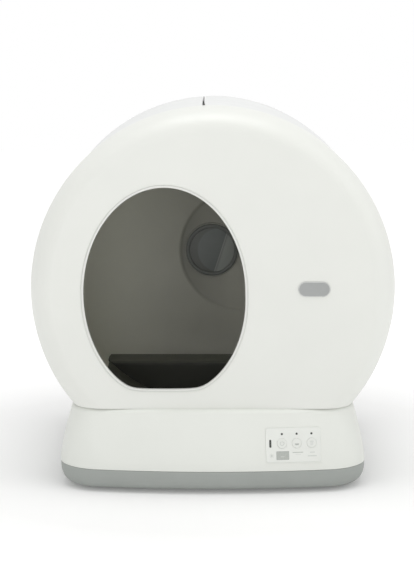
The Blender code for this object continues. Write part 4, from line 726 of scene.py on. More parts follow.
@dataclass(frozen=True)
class LensGlass(Finish):
    """Smoked, faintly blue moulded lens, with a painted reflection past a slanting line across it, a painted
    highlight along that line and a painted shade crescent on one side.
    """

    name: str = "smoked_lens"
    colour: Triple = (0.165, 0.184, 0.178)
    drift: float = 0.05
    drift_size: float = 0.03
    roughness: float = 0.38
    roughness_drift: float = 0.04
    grain_size: float = 0.002
    grain_depth: float = 0.00002
    axis: Pair = (0.0, 0.0)
    slant: float = math.radians(-18.0)
    line_at: float = 0.0150
    line_width: float = 0.0012
    share: float = 0.75
    shade_shift: float = 0.0135
    shade_radius: float = 0.0375
    shade: Triple = (0.118, 0.126, 0.116)
    bright: Triple = (0.400, 0.420, 0.400)

    def paint(self) -> Shader:
        """Paint a reflection past a slanting line and a highlight along it, and paint shade in the crescent on
        its left.
        """
        shader = super().paint()
        axis = (self.axis[0], 0.0, self.axis[1])
        moved = shader.step("VectorMath", "SUBTRACT", shader.place, axis, "Vector")
        heading = (math.cos(self.slant), 0.0, math.sin(self.slant))
        along = shader.step("VectorMath", "DOT_PRODUCT", moved, heading)
        # Painted reflection: the lens is lighter past the slanting line.
        shader.tint(shader.ranged(along, 0.0, self.share, self.line_at, self.line_at + 0.004), self.bright)
        near = shader.step("Math", "ABSOLUTE", shader.step("Math", "SUBTRACT", along, self.line_at))
        # Painted highlight: a thin bright line along the slant.
        shader.tint(shader.ranged(near, self.share, 0.0, self.line_width * 0.3, self.line_width), self.bright)
        # Painted shade: a crescent on the lens's left, outside a circle shifted to the right.
        away = shader.reach((self.axis[0] + self.shade_shift, 0.0, self.axis[1]))
        shader.tint(shader.ranged(away, 0.0, 1.0, self.shade_radius - 0.0012, self.shade_radius + 0.0012),
                    self.shade)
        shader.set(shader.surface, Coat_Weight=0.05, Coat_Roughness=0.2)
        return shader


@dataclass(frozen=True)
class Ink(Finish):
    """A thin satin print."""

    drift: float = 0.06
    drift_size: float = 0.002
    roughness: float = 0.42
    grain_size: float = 0.0003
    grain_depth: float = 0.000004


@dataclass(frozen=True)
class Palette:
    """Every finish on the product."""

    shell: Finish = GlossPlastic("white_moulding", (0.735, 0.745, 0.735), roughness=0.46, coat=0.05)
    cover: Finish = GlossPlastic("cover_moulding", (0.765, 0.775, 0.735), roughness=0.44, coat=0.06)
    lip: Finish = GlossPlastic("entrance_moulding", (0.720, 0.728, 0.695), roughness=0.46, coat=0.04)
    base: Finish = GlossPlastic("base_moulding", (0.770, 0.785, 0.740), drift=0.010, roughness=0.50, coat=0.03)
    film: Finish = GlossPlastic("panel_film", (0.775, 0.790, 0.750), drift=0.006, drift_size=0.02,
                                roughness=0.36, flow_depth=0.00002, coat=0.08)
    cap: Finish = GlossPlastic("button_cap", (0.755, 0.770, 0.730), drift_size=0.01,
                               roughness=0.40, flow_depth=0.00001, coat=0.05)
    pan: Finish = DustyPlastic("grey_pan_moulding", (0.352, 0.372, 0.353), roughness=0.52,
                               dust=(0.45, 0.46, 0.44), dust_share=0.10)
    drum: Finish = DrumPlastic("grey_drum_moulding", (0.525, 0.523, 0.470), drift=0.035, drift_size=0.10,
                               roughness=0.55, grain_size=0.0010, grain_depth=0.00004)
    liner: Finish = LinerPlastic("black_liner_rubber", (0.052, 0.054, 0.044), drift=0.06, roughness=0.55,
                                 dust=(0.10, 0.10, 0.09), dust_share=0.10, grain_size=0.0012)
    dark: Finish = DustyPlastic("dark_moulding", (0.050, 0.052, 0.050), drift=0.05,
                                dust=(0.12, 0.12, 0.11), dust_share=0.08)
    bush: Finish = DustyPlastic("bearing_ring", (0.400, 0.402, 0.365), drift=0.04,
                                dust=(0.42, 0.42, 0.39), dust_share=0.06)
    collar: Finish = DustyPlastic("hub_collar_moulding", (0.195, 0.206, 0.196), drift=0.04, roughness=0.40,
                                  dust=(0.2, 0.2, 0.19), dust_share=0.06)
    rubber: Finish = DustyPlastic("soft_rubber", (0.022, 0.022, 0.023), drift=0.08, roughness=0.72,
                                  dust=(0.10, 0.10, 0.10), dust_share=0.10, grain_size=0.0012)
    slit: Finish = DustyPlastic("seam_rubber", (0.016, 0.016, 0.015), drift=0.06, roughness=0.7)
    felt: Finish = Felt("grey_felt", (0.10, 0.10, 0.098), drift=0.12, drift_size=0.004, roughness=0.9)
    badge: Finish = GlossPlastic("badge_plating", (0.345, 0.355, 0.35), drift=0.02, drift_size=0.01,
                                 roughness=0.38, flow_depth=0.00001, coat=0.15)
    rim: Finish = GlossPlastic("badge_rim_plating", (0.56, 0.57, 0.555), drift=0.02, drift_size=0.01,
                               roughness=0.32, flow_depth=0.00001, coat=0.2)
    acetal: Finish = GlossPlastic("acetal_moulding", (0.62, 0.60, 0.53), drift=0.03, roughness=0.38)
    steel: Finish = Metal("drawn_steel", (0.55, 0.55, 0.56), drift=0.05, roughness=0.34,
                          lines=(1.0, 9.0, 1.0))
    aluminium: Finish = Metal("rolled_aluminium", (0.70, 0.71, 0.72), drift=0.04, roughness=0.42)
    board: Finish = Board("green_board", (0.03, 0.13, 0.05), drift=0.10, drift_size=0.008, roughness=0.35)
    carbon: Finish = Granules("carbon_granules", (0.028, 0.028, 0.029), drift=0.2, roughness=0.8)
    print_grey: Finish = Ink("grey_ink", (0.44, 0.46, 0.43))
    print_pale: Finish = Ink("pale_ink", (0.60, 0.62, 0.585), drift=0.05)
    print_faint: Finish = Ink("faint_ink", (0.68, 0.695, 0.66), drift=0.04)
    print_dark: Finish = Ink("dark_ink", (0.33, 0.345, 0.33))
    dot: Finish = GlossPlastic("smoked_lamp", (0.045, 0.050, 0.043), drift=0.05, drift_size=0.001,
                               roughness=0.22, flow_depth=0.000004, coat=0.3)


PALETTE = Palette()


# Front

@dataclass(frozen=True)
class EntranceCurve:
    """The way in: an upright ellipse whose foot is levelled by a soft floor."""

    half_width: float = 0.116
    half_height: float = 0.153
    sill: float = 0.0282
    bead: float = 0.0045
    softness: float = 0.007
    fullness: float = 0.0034
    samples: int = 6000
    centre: Pair = (0.0, 0.0)
    floor: float = 0.0

    @classmethod
    def in_frame(cls) -> "EntranceCurve":
        """Place the curve in the frame's own ring."""
        ring = Extent.of("entrance_ring")
        return cls(centre=(ring.centre.x, ring.high.z - cls.bead - cls.half_height),
                   floor=Extent.of("base_housing").high.z + cls.sill)

    def outline(self, offset: float, count: int) -> np.ndarray:
        """Return the curve grown by an offset.

        Formula: the ellipse's height above the floor h becomes half of h + sqrt(h squared + softness squared).
        Its lower right is fuller by a share of cosine times sine.

        Args:
            offset: how far outside the opening the curve lies.
            count: points round it.

        Returns:
            One line of x and z for each point.
        """
        round_x, round_z = circle(1.0, count).T
        floor = self.floor - offset
        above = self.centre[1] + (self.half_height + offset) * round_z - floor
        fuller = self.fullness * np.maximum(round_x, 0.0) * np.maximum(-2.0 * round_z, 0.0)
        return np.column_stack([self.centre[0] + (self.half_width + offset) * round_x + fuller,
                                floor + (above + np.hypot(above, self.softness)) / 2.0])

    def reach(self, offset: float, origin: Pair, angle: np.ndarray) -> np.ndarray:
        """Measure the curve's distance from a point inside it.

        Args:
            offset: how far outside the opening the curve lies.
            origin: the point's x and z.
            angle: the angles to look along.

        Returns:
            The distance along each angle.
        """
        x, z = (self.outline(offset, self.samples) - np.array(origin)).T
        heading = np.arctan2(z, x)
        order = np.argsort(heading)
        return np.interp(angle, heading[order], np.hypot(x, z)[order], period=FULL_TURN)


@dataclass(frozen=True)
class FrontCover:
    """The round front: a flat face, a rolled rim, and a foot cut level with round corners."""

    entrance: EntranceCurve
    wall: float = 0.003
    rim_round: float = 0.033
    rim_depth: float = 0.046
    corner: float = 0.012
    hole_offset: float = 0.0041
    hole_edge: float = 0.0004
    flare: float = 0.0004
    flare_height: float = 0.013
    seat: float = 0.00006
    columns: int = 560
    corner_columns: int = 22
    rim_steps: int = 26

    def build(self) -> None:
        """Make the cover as a grid of rays from its axis.

        Formula: the rolled rim is a quarter ellipse. A ray ends at the circle, the corner's arc or the foot.
        """
        extent = Extent.of("front_cover")
        radius = extent.half.x
        axis_z = extent.high.z - radius
        foot = Extent.of("base_housing").high.z + self.seat
        drop = axis_z - foot - self.corner
        corner_x = math.sqrt((radius - self.corner) ** 2 - drop ** 2)
        turn_in, turn_out = math.atan2(-drop, corner_x), math.atan2(-drop - self.corner, corner_x)
        angle = self.rays(turn_in, turn_out)
        hole = self.entrance.reach(self.hole_offset, (0.0, axis_z), angle)
        mirrored = np.where(angle < -math.pi / 2.0, -math.pi - angle, angle)
        toward = np.cos(mirrored) * corner_x - np.sin(mirrored) * drop
        arc = toward + np.sqrt(np.maximum(toward ** 2 - (corner_x ** 2 + drop ** 2 - self.corner ** 2), 0.0))
        level = (axis_z - foot + self.wall) / np.maximum(-np.sin(mirrored), 1e-6)
        limit = np.where(mirrored > turn_in, radius, np.where(mirrored >= turn_out, arc, level))
        inside = np.where(mirrored < turn_out, level - self.hole_edge, limit - self.wall)
        rows = []
        for share, distance, depth, inner in self.stations(radius, extent.low.y, extent.high.y):
            end = np.minimum(distance if share < 1.0 else np.maximum(distance, hole + 0.0005),
                             inside if inner else limit)
            along = hole + (end - hole) * share
            z = axis_z + along * np.sin(angle)
            fade = np.clip((radius - along) / self.rim_round, 0.0, 0.0 if inner else 1.0)
            y = depth - self.flare * fade * np.clip(1.0 - (z - foot) / self.flare_height, 0.0, 1.0) ** 2
            rows.append(np.stack([along * np.cos(angle), y, z], axis=-1))
        cover = surface("cover_face", np.stack(rows), round_rows=True)
        slice_off(cover, (0.0, 0.0, foot), (0.0, 0.0, -1.0))
        settle(cover, Body.BASE, Slot.WHITE, PALETTE.cover, "front_cover")

    def rays(self, turn_in: float, turn_out: float) -> np.ndarray:
        """Spread the rays, closer together round the two lower corners.

        Args:
            turn_in: the angle where the right corner starts.
            turn_out: the angle where it meets the foot.

        Returns:
            The rays' angles in order.
        """
        even = np.linspace(-math.pi, math.pi, self.columns, endpoint=False)
        fine = np.append(np.linspace(turn_out - 0.0004, turn_in + 0.004, self.corner_columns), turn_out)
        both = np.concatenate([even, fine, -math.pi - fine])
        return np.unique(np.round(np.mod(both + math.pi, FULL_TURN) - math.pi, 6))

    def stations(self, radius: float, front: float, rear: float) -> list[tuple[float, float, float, bool]]:
        """Run the section from the hole's front edge round the rim to the hole's rear edge.

        Args:
            radius: the cover's outer radius.
            front: the depth of its face.
            rear: the depth of its rear edge.

        Returns:
            Each station's share of the way from the hole, its radius, its depth and whether it is inside.
        """
        flat, back, turn = radius - self.rim_round, front + self.wall, front + self.rim_depth
        rim = bend((flat, front), (radius, turn), self.rim_steps)
        line = [(0.0, flat, front + self.hole_edge, False), (0.002, flat, front, False)]
        line += [(share, flat, front, False) for share in np.linspace(0.02, 0.98, 24).tolist()]
        line += [(1.0, *spot, False) for spot in rim + [(radius, rear - SOFT), (radius - SOFT, rear)]]
        within = bend((flat, back), (radius - self.wall, turn), self.rim_steps // 2)[::-1]
        line += [(1.0, *spot, True) for spot in [(radius - self.wall, rear)] + within]
        return line + [(share, flat, back, True) for share in np.linspace(0.95, 0.0, 6).tolist()]


@dataclass(frozen=True)
class EntranceRing:
    """The thin lip round the way in, with a rounded bead on the face."""

    entrance: EntranceCurve
    wall: float = 0.0017
    bead: float = 0.0031
    flange: float = 0.0045
    flange_wall: float = 0.0008
    step: float = 0.0021
    round: float = 0.0009
    depth: float = 0.0060
    count: int = 320

    def build(self) -> None:
        """Run the lip's section round the curve."""
        front = Extent.of("entrance_ring").low.y
        rear, crown, flange = front + self.depth, front + self.round, front + self.step
        section = [(0.0, level) for level in np.linspace(rear, crown, 6)[:-1]]
        section += bend((self.round, front), (0.0, crown), 5)[::-1]
        section += bend((self.bead - self.round, front), (self.bead, crown), 5)
        section += [(self.bead, flange), (self.flange, flange), (self.flange, flange + self.flange_wall),
                    (self.wall, flange + self.flange_wall), (self.wall, rear)]
        rows = [lifted(self.entrance.outline(offset, self.count), level)[:, [0, 2, 1]]
                for offset, level in section]
        ring = surface("entrance_lip", np.stack(rows), round_rows=True)
        settle(ring, Body.BASE, Slot.WHITE, PALETTE.lip, "entrance_ring")


@dataclass(frozen=True)
class Badge:
    """A plain plate with round ends, a fine rim round a flat field."""

    rim: float = 0.0012
    edge: float = 0.0004
    steps: int = 20

    def build(self) -> None:
        """Make the plate with its rim, and the field let into it."""
        extent = Extent.of("badge_plate")
        bottom, top, edge = -extent.high.y, -extent.low.y, self.edge
        levels = ((0.0, bottom), (0.0, top - edge), (edge * 0.3, top - edge * 0.3), (edge, top),
                  (self.rim - edge, top), (self.rim, top - edge * 0.6))
        plate = FRONT.stack("badge_pill", [(self.pill(extent, inset), level) for inset, level in levels])
        settle(plate, Body.BASE, Slot.BADGE, PALETTE.rim, "badge_plate")
        inner = FRONT.prism("badge_field", self.pill(extent, self.rim), top - edge, top - edge * 0.5)
        settle(inner, Body.BASE, Slot.BADGE, PALETTE.badge)

    def pill(self, extent: Extent, inset: float) -> np.ndarray:
        """Return the plate's outline at an inset."""
        tall = extent.half.z - inset
        return rounded(extent.half.x - inset, tall, tall, self.steps, (extent.centre.x, extent.centre.z))


# Rear shells

class Side(Enum):
    """The two halves of the rear shell, each with the way that it faces along X."""

    LEFT = -1.0
    RIGHT = 1.0


@dataclass(frozen=True)
class RearShell:
    """Half of the domed shell behind the cover, double-walled and cut at the seam and the foot."""

    side: Side
    wall: float = 0.003
    round: float = 0.060
    round_depth: float = 0.078
    turn_steps: int = 300
    round_steps: int = 26
    edge: float = 0.0005
    seam_ease: float = 0.0009

    def build(self) -> None:
        """Turn the profile and cut it to its half."""
        name, facing = self.side.name.lower(), self.side.value
        extent = Extent.of("shell_" + name)
        seam = (extent.high if self.side is Side.LEFT else extent.low).x + facing * self.seam_ease
        radius = max(abs(extent.low.x), abs(extent.high.x))
        profile = self.line(radius, extent, 0.0) + self.line(radius, extent, self.wall)[::-1]
        grid = turned(profile, self.turn_steps, (0.0, extent.high.z - radius))
        shell = surface("dome_" + name, grid, round_rows=True)
        slice_off(shell, (seam, 0.0, 0.0), (-facing, 0.0, 0.0))
        slice_off(shell, (0.0, 0.0, extent.low.z), (0.0, 0.0, -1.0))
        settle(shell, Body.BASE, Slot.WHITE, PALETTE.shell, "shell_" + name)

    def line(self, radius: float, extent: Extent, inset: float) -> list[Pair]:
        """Run one side of the wall from the front to the axis, its rear edge a quarter ellipse.

        Args:
            radius: the shell's outer radius.
            extent: the half shell's box.
            inset: how far inside the outer side it runs.

        Returns:
            Its (radius, y) points.
        """
        front, rear, flat = extent.low.y, extent.high.y - inset, radius - self.round
        side = extent.high.y - self.round_depth
        line = [(radius - inset, level) for level in np.linspace(front, side, 9)[:-1].tolist()]
        if not inset:
            line = [(radius - self.edge, front), (radius, front + self.edge)] + line[1:]
        line += bend((flat, rear), (radius - inset, side), self.round_steps)[::-1]
        return line + [(reach, rear) for reach in np.linspace(flat, 0.0, 9)[1:].tolist()]


# Base

@dataclass(frozen=True)
class BaseForm:
    """The base's leaning, bowed form, shared by the housing, the pan and what sits in them."""

    half_x: float
    half_y: float
    top: float
    corner: float = 0.055
    bow: float = 0.025
    lean: float = 0.018
    lean_start: float = 0.042
    lean_power: float = 1.3
    corner_steps: int = 22
    front_steps: int = 56
    side_steps: int = 12

    @classmethod
    def in_frame(cls) -> "BaseForm":
        """Read the base's own sizes from the frame."""
        pan = Extent.of("base_pan")
        return cls(pan.half.x, pan.half.y, Extent.of("base_housing").high.z)

    def lean_at(self, height: "float | np.ndarray") -> "float | np.ndarray":
        """Return how far the wall stands in from its widest line, a power of the height."""
        share = np.maximum(height - self.lean_start, 0.0) / (self.top - self.lean_start)
        return self.lean * share ** self.lean_power

    def bowed(self, x: "float | np.ndarray") -> "float | np.ndarray":
        """Return the share of its depth that the front keeps at a place across."""
        return 1.0 - self.bow / self.half_y * (x / self.half_x) ** 2

    def plan(self, inset: float) -> np.ndarray:
        """Draw the plan.

        Formula: a rectangle with round corners, its front and rear bowed.

        Args:
            inset: how far inside the widest line it lies.

        Returns:
            One line of x and y for each point, as many at every inset.
        """
        radius = max(self.corner - inset, self.corner / 4.0)
        ring = rounded(self.half_x - inset, self.half_y - inset, radius, self.corner_steps)
        arcs, parts = np.split(ring, 4), []
        for arc, after, steps in zip(arcs, arcs[1:] + arcs[:1], (self.front_steps, self.side_steps) * 2):
            share = np.linspace(0.0, 1.0, steps + 1)[1:-1][:, None]
            parts += [arc, arc[-1] + (after[0] - arc[-1]) * share]
        plan = np.concatenate(parts)
        plan[:, 1] *= self.bowed(plan[:, 0])
        return plan

    def rings(self, line: Iterable[Pair]) -> np.ndarray:
        """Return the plan at each (inset, height) of a section."""
        return np.stack([lifted(self.plan(inset), height) for inset, height in line])


@dataclass(frozen=True)
class Housing:
    """The white base: a leaning wall with a rolled top edge, an inward deck and its cut-outs."""

    form: BaseForm
    panel: "ControlPanel"
    wall: float = 0.003
    top_round: float = 0.0080
    top_in: float = 0.0060
    deck: float = 0.018
    edge: float = 0.0005
    levels: int = 20
    vents: int = 7
    vent_pitch: float = 0.009
    vent_width: float = 0.003
    vent_low: float = 0.040
    vent_high: float = 0.066
    vent_depth: float = 0.060
    inlet_step: float = 0.002
    inlet_seat: float = 0.0015

    def build(self) -> None:
        """Loft the wall and cut the panel's pocket, the drawer's opening, the vents and the inlet's hole."""
        form, low = self.form, Extent.of("base_housing").low.z
        shoulder, top, rim = form.top - self.top_round, form.top, form.lean + self.deck
        line = [(form.lean_at(low) + self.edge, low), (form.lean_at(low), low + self.edge)]
        line += [(form.lean_at(level), level) for level in np.linspace(low, shoulder, self.levels)[1:]]
        line += bend((form.lean + self.top_in, top), (form.lean_at(shoulder), shoulder), 7)[-2::-1]
        line += [(rim - SOFT, top), (rim, top - SOFT), (rim, top - self.wall)]
        line += [(form.lean_at(level) + self.wall, level) for level in np.linspace(top - self.wall, low, 6)]
        housing = surface("base_body", form.rings(line), round_rows=True)
        cut(housing, self.drawer_tool(), *self.vent_tools(), self.inlet_tool(), *self.panel.tools())
        settle(housing, Body.BASE, Slot.WHITE, PALETTE.base, "base_housing")

    def drawer_tool(self) -> Piece:
        """Return the solid that opens the right side for the drawer."""
        door = Extent.of("drawer_front")
        outline = rounded(door.half.y + SOFT, door.half.z + SOFT, DrawerFront.corner, 3,
                          (door.centre.y, door.centre.z))
        inner = self.form.half_x - self.form.lean - self.deck
        return RIGHT.prism("drawer_cut", outline, inner, self.form.half_x + CLEAR)

    def vent_tools(self) -> list[Piece]:
        """Return the upright slots through the rear wall beside the filter."""
        half_x, half_z = self.vent_width / 2.0, (self.vent_high - self.vent_low) / 2.0
        first = Extent.of("odour_filter").centre.x - self.vent_pitch * (self.vents - 1) / 2.0 + half_x
        return [REAR.prism("vent_cut", rounded(half_x, half_z, half_x, 6,
                                               (-first - step * self.vent_pitch, self.vent_low + half_z)),
                           self.form.half_y - self.vent_depth, self.form.half_y + CLEAR)
                for step in range(self.vents)]

    def inlet_tool(self) -> Piece:
        """Return the stepped hole for the power inlet."""
        inlet = Extent.of("power_inlet")
        wide, seat = inlet.half.x + FIT, inlet.high.y - self.inlet_seat
        narrow, inside, outside = wide - self.inlet_step, inlet.low.y, self.form.half_y + CLEAR
        profile = [(0.0, inside), (narrow, inside), (narrow, seat), (wide, seat), (wide, outside),
                   (0.0, outside)]
        return surface("inlet_cut", turned(profile, 48, (inlet.centre.x, inlet.centre.z)))


@dataclass(frozen=True)
class Pan:
    """The grey tray under the base, rounded below, its inside seen only with the drawer out."""

    form: BaseForm
    wall: float = 0.003
    round: float = 0.028
    fullness: float = 0.78
    stem: float = 0.0053
    steps: int = 14

    def build(self) -> None:
        """Loft the tray from its outer floor round its rim to its inner floor.

        Formula: the underside is a quarter of a full ellipse, both parts raised to a power, from the rim to
        the floor.
        """
        extent = Extent.of("base_pan")
        rim, bottom, floor = extent.high.z, extent.low.z, extent.low.z + self.wall
        line = bend((self.round, bottom), (0.0, rim - SOFT), self.steps, self.fullness)
        inner = bend((self.wall + self.round, floor), (self.wall, rim), self.steps // 2, self.fullness)
        line += [(SOFT, rim), (self.wall, rim)] + inner[-2::-1]
        pan = surface("base_tray", self.form.rings(line), capped=True)
        feet = [Extent.of(foot).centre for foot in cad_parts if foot.startswith("foot_")]
        holes = [circle(self.stem, 24, (foot.x, foot.y)) for foot in feet]
        cut(pan, *[FLOOR.prism("stem_cut", hole, bottom - CLEAR, floor + CLEAR) for hole in holes])
        settle(pan, Body.BASE, Slot.PAN, PALETTE.pan, "base_pan")


# Control panel

class Key(Enum):
    """The push buttons, in order from the left, with the body that each rides on."""

    POWER = Body.POWER
    CLEAN = Body.CLEAN
    EMPTY = Body.EMPTY


@dataclass(frozen=True)
class ControlPanel:
    """The film plate on the leaning front, with its buttons, lamps and printed signs."""

    form: BaseForm
    shift_x: float = 0.116
    height: float = 0.0715
    half_length: float = 0.040
    half_tall: float = 0.025
    corner: float = 0.004
    plate: float = 0.0015
    plate_edge: float = 0.0003
    pocket: float = 0.0018
    gap: float = 0.00014
    pitch: float = 0.0216
    first_u: float = -0.0164
    rise: float = 0.0025
    key_radius: float = 0.0072
    key_proud: float = 0.0008
    key_edge: tuple[Pair, ...] = ((0.0, 0.0007), (0.0002, 0.0003), (0.0005, 0.00006), (0.0009, 0.0))
    key_dish: float = 0.00018
    key_depth: float = 0.002
    hole_depth: float = 0.012
    pocket_reach: float = 0.006
    lamp_radius: float = 0.0016
    lamp_rise: float = 0.0160
    lamp_edge: float = -0.0003
    lamp_crown: float = 0.0002
    slot_u: float = -0.0335
    slot_sunk: float = 0.0001
    slot_half: Pair = (0.0015, 0.0058)
    signs_v: float = -0.0149
    ink: float = 0.00006
    ink_sunk: float = 0.0002

    @property
    def place(self) -> Plane:
        """The plate's place: its front at nought, outward away from the base."""
        form, x = self.form, self.shift_x
        rise = form.top - form.lean_start
        share = (self.height - form.lean_start) / rise
        slope = form.lean * form.lean_power * share ** (form.lean_power - 1.0) / rise
        half_y = form.half_y - float(form.lean_at(self.height))
        across = Vector((1.0, half_y * form.bow / form.half_y * 2.0 * x / form.half_x ** 2, 0.0)).normalized()
        out = across.cross(Vector((0.0, slope * form.bowed(x), 1.0))).normalized()
        return Plane(Vector((x, -half_y * form.bowed(x), self.height)), across, out.cross(across), out)

    def spots(self, rise: float) -> list[Pair]:
        """Return the buttons' places across the plate, at a height on it."""
        return [(self.first_u + index * self.pitch, rise) for index in range(len(Key))]

    def slot(self, grown: float) -> np.ndarray:
        """Return the outline of the upright slot, grown by a gap."""
        half_u, half_v = self.slot_half[0] + grown, self.slot_half[1] + grown
        return rounded(half_u, half_v, half_u, 10, (self.slot_u, self.rise))

    def film(self, inset: float, steps: int) -> np.ndarray:
        """Return the plate's outline at an inset."""
        return rounded(self.half_length - inset, self.half_tall - inset, self.corner - inset, steps)

    def tools(self) -> list[Piece]:
        """Return the solids that cut the pocket and the holes behind it out of the housing."""
        place = self.place
        holes = [circle(self.key_radius + self.gap, 40, spot) for spot in self.spots(self.rise)]
        pocket = place.prism("pocket_cut", self.film(-self.gap, 8), -self.pocket, self.pocket_reach)
        return [pocket] + [place.prism("key_cut", hole, -self.hole_depth, -self.pocket / 2.0)
                           for hole in holes]

    def build(self) -> None:
        """Make the plate, its lamps and slot, the buttons and the signs."""
        place = self.place
        self.build_plate(place)
        for key, spot, lamp_spot in zip(Key, self.spots(self.rise), self.spots(self.lamp_rise)):
            self.build_key(place, key, spot)
            bulge = bend((0.0, self.lamp_crown), (self.lamp_radius, self.lamp_edge), 6)[:0:-1]
            line = [(self.lamp_radius, -self.plate)] + bulge + [(self.lamp_radius * 0.02, self.lamp_crown)]
            levels = [(circle(size, 40, lamp_spot), level) for size, level in line]
            lamp = place.stack("lamp_" + key.name.lower(), levels)
            settle(lamp, Body.BASE, Slot.LENS, PALETTE.dot, *(["light_guide"] if key is Key.POWER else []))
        window = place.prism("status_window", self.slot(0.0), -self.plate, -self.slot_sunk)
        settle(window, Body.BASE, Slot.LENS, PALETTE.dot, "indicator_window")
        self.print_signs(place)

    def build_plate(self, place: Plane) -> None:
        """Make the plate with a softened edge and its holes."""
        edge = self.plate_edge
        levels = ((0.0, -self.plate), (0.0, -edge), (edge * 0.3, -edge * 0.3), (edge, 0.0))
        plate = place.stack("panel_film", [(self.film(inset, 10), level) for inset, level in levels])
        holes = [circle(self.key_radius + self.gap, 48, spot) for spot in self.spots(self.rise)]
        holes += [circle(self.lamp_radius + self.gap / 2.0, 24, spot) for spot in self.spots(self.lamp_rise)]
        holes += [self.slot(self.gap / 2.0)]
        cut(plate, *[place.prism("plate_cut", hole, -CLEAR, CLEAR / 2.0) for hole in holes])
        settle(plate, Body.BASE, Slot.WHITE, PALETTE.film, "panel_plate")

    def build_key(self, place: Plane, key: Key, spot: Pair) -> None:
        """Make a button with a rolled edge and a faintly dished top, and its sign.

        Args:
            place: the plate's place.
            key: the button.
            spot: its middle on the plate.
        """
        name, radius, top = key.name.lower(), self.key_radius, self.key_proud
        bottom = (Extent.of("button_" + name).centre - place.origin).dot(place.out) - self.key_depth
        line = [(radius, bottom)] + [(radius - inset, top - drop) for inset, drop in self.key_edge]
        flat = line[-1][0]
        line += [(size, top - self.key_dish * (1.0 - (size / flat) ** 2))
                 for size in np.linspace(flat, 0.0002, 8)[1:]]
        cap = place.stack("cap_" + name, [(circle(size, 72, spot), level) for size, level in line])
        settle(cap, key.value, Slot.WHITE, PALETTE.cap, "button_" + name)
        for sign_name, outline, finish in self.key_sign(key):
            sign = place.prism(sign_name, outline + np.array(spot), top - 0.0003, top + self.ink - 0.0001)
            settle(sign, key.value, Slot.BADGE, finish)

    def key_sign(self, key: Key) -> list[tuple[str, np.ndarray, Finish]]:
        """Return a button's generic sign as named outlines about its middle, each with its ink."""
        if key is Key.POWER:
            return [("sign_power_ring", open_ring(0.0023, 0.0033, 65.0), PALETTE.print_pale),
                    ("sign_power_bar", rounded(0.0004, 0.0014, 0.0004, 4, (0.0, 0.0023)), PALETTE.print_pale)]
        if key is Key.CLEAN:
            bowl = mirrored_outline((0.0018, -0.0029), (0.0025, -0.0024), (0.0032, -0.0006))
            return [("sign_bowl", bowl, PALETTE.print_grey)]
        return [("sign_bin", mirrored_outline((0.0019, -0.0032), (0.0024, 0.0012)), PALETTE.print_faint),
                ("sign_bin_lid", rounded(0.0029, 0.0005, 0.0004, 3, (0.0, 0.0023)), PALETTE.print_pale)]

    def print_signs(self, place: Plane) -> None:
        """Print the plate's generic signs: a sun, a tag with a dash, and bars where words would be."""
        sun, pale = (-0.0320, self.signs_v), PALETTE.print_pale
        signs = [("sun", circle(0.0018, 24, sun), 1.0, pale)]
        signs += [("sun_ray_{}".format(index), circle(0.00055, 10, spot), 1.0, pale)
                  for index, spot in enumerate(circle(0.0029, 8, sun).tolist())]
        for name, u, v, half_u, half_v, bend_by, steps, layers, ink in (
                ("tag", -0.0158, 0.0, 0.0092, 0.0061, 0.0006, 5, 1.0, PALETTE.print_dark),
                ("bar_long", 0.0064, 0.0041, 0.0079, 0.0005, 0.0005, 4, 1.0, PALETTE.print_grey),
                ("bar_below", 0.0068, 0.0010, 0.0042, 0.0004, 0.0004, 4, 1.0, PALETTE.print_faint),
                ("bar_right", 0.0276, 0.0038, 0.0036, 0.0006, 0.0005, 4, 1.0, pale),
                ("bar_last", 0.0272, -0.0014, 0.0066, 0.0007, 0.0006, 4, 1.0, pale),
                ("tag_field", -0.0158, 0.0, 0.0086, 0.0055, 0.0004, 5, 1.5, PALETTE.print_grey),
                ("tag_dash", -0.0162, -0.0017, 0.0029, 0.0005, 0.0005, 4, 2.0, pale)):
            signs.append((name, rounded(half_u, half_v, bend_by, steps, (u, self.signs_v + v)), layers, ink))
        for name, outline, layers, ink in signs:
            sign = place.prism("sign_" + name, outline, -self.ink_sunk, self.ink * layers)
            settle(sign, Body.BASE, Slot.BADGE, ink)


def mirrored_outline(*half: Pair) -> np.ndarray:
    """Return an outline from its right half and the mirror of it, anticlockwise."""
    right = np.array(half)
    return np.concatenate([right, right[::-1] * (-1.0, 1.0)])


def open_ring(inner: float, outer: float, opening: float) -> np.ndarray:
    """Return a ring open at its top as one outline.

    Args:
        inner: its inner radius.
        outer: its outer radius.
        opening: its opening in degrees.

    Returns:
        One line of two coordinates for each point.
    """
    half = math.radians(opening) / 2.0
    angle = np.linspace(math.pi / 2.0 + half, math.pi / 2.0 + FULL_TURN - half, 40)
    out = np.column_stack([np.cos(angle), np.sin(angle)])
    return np.concatenate([out * outer, out[::-1] * inner])


# Drum group

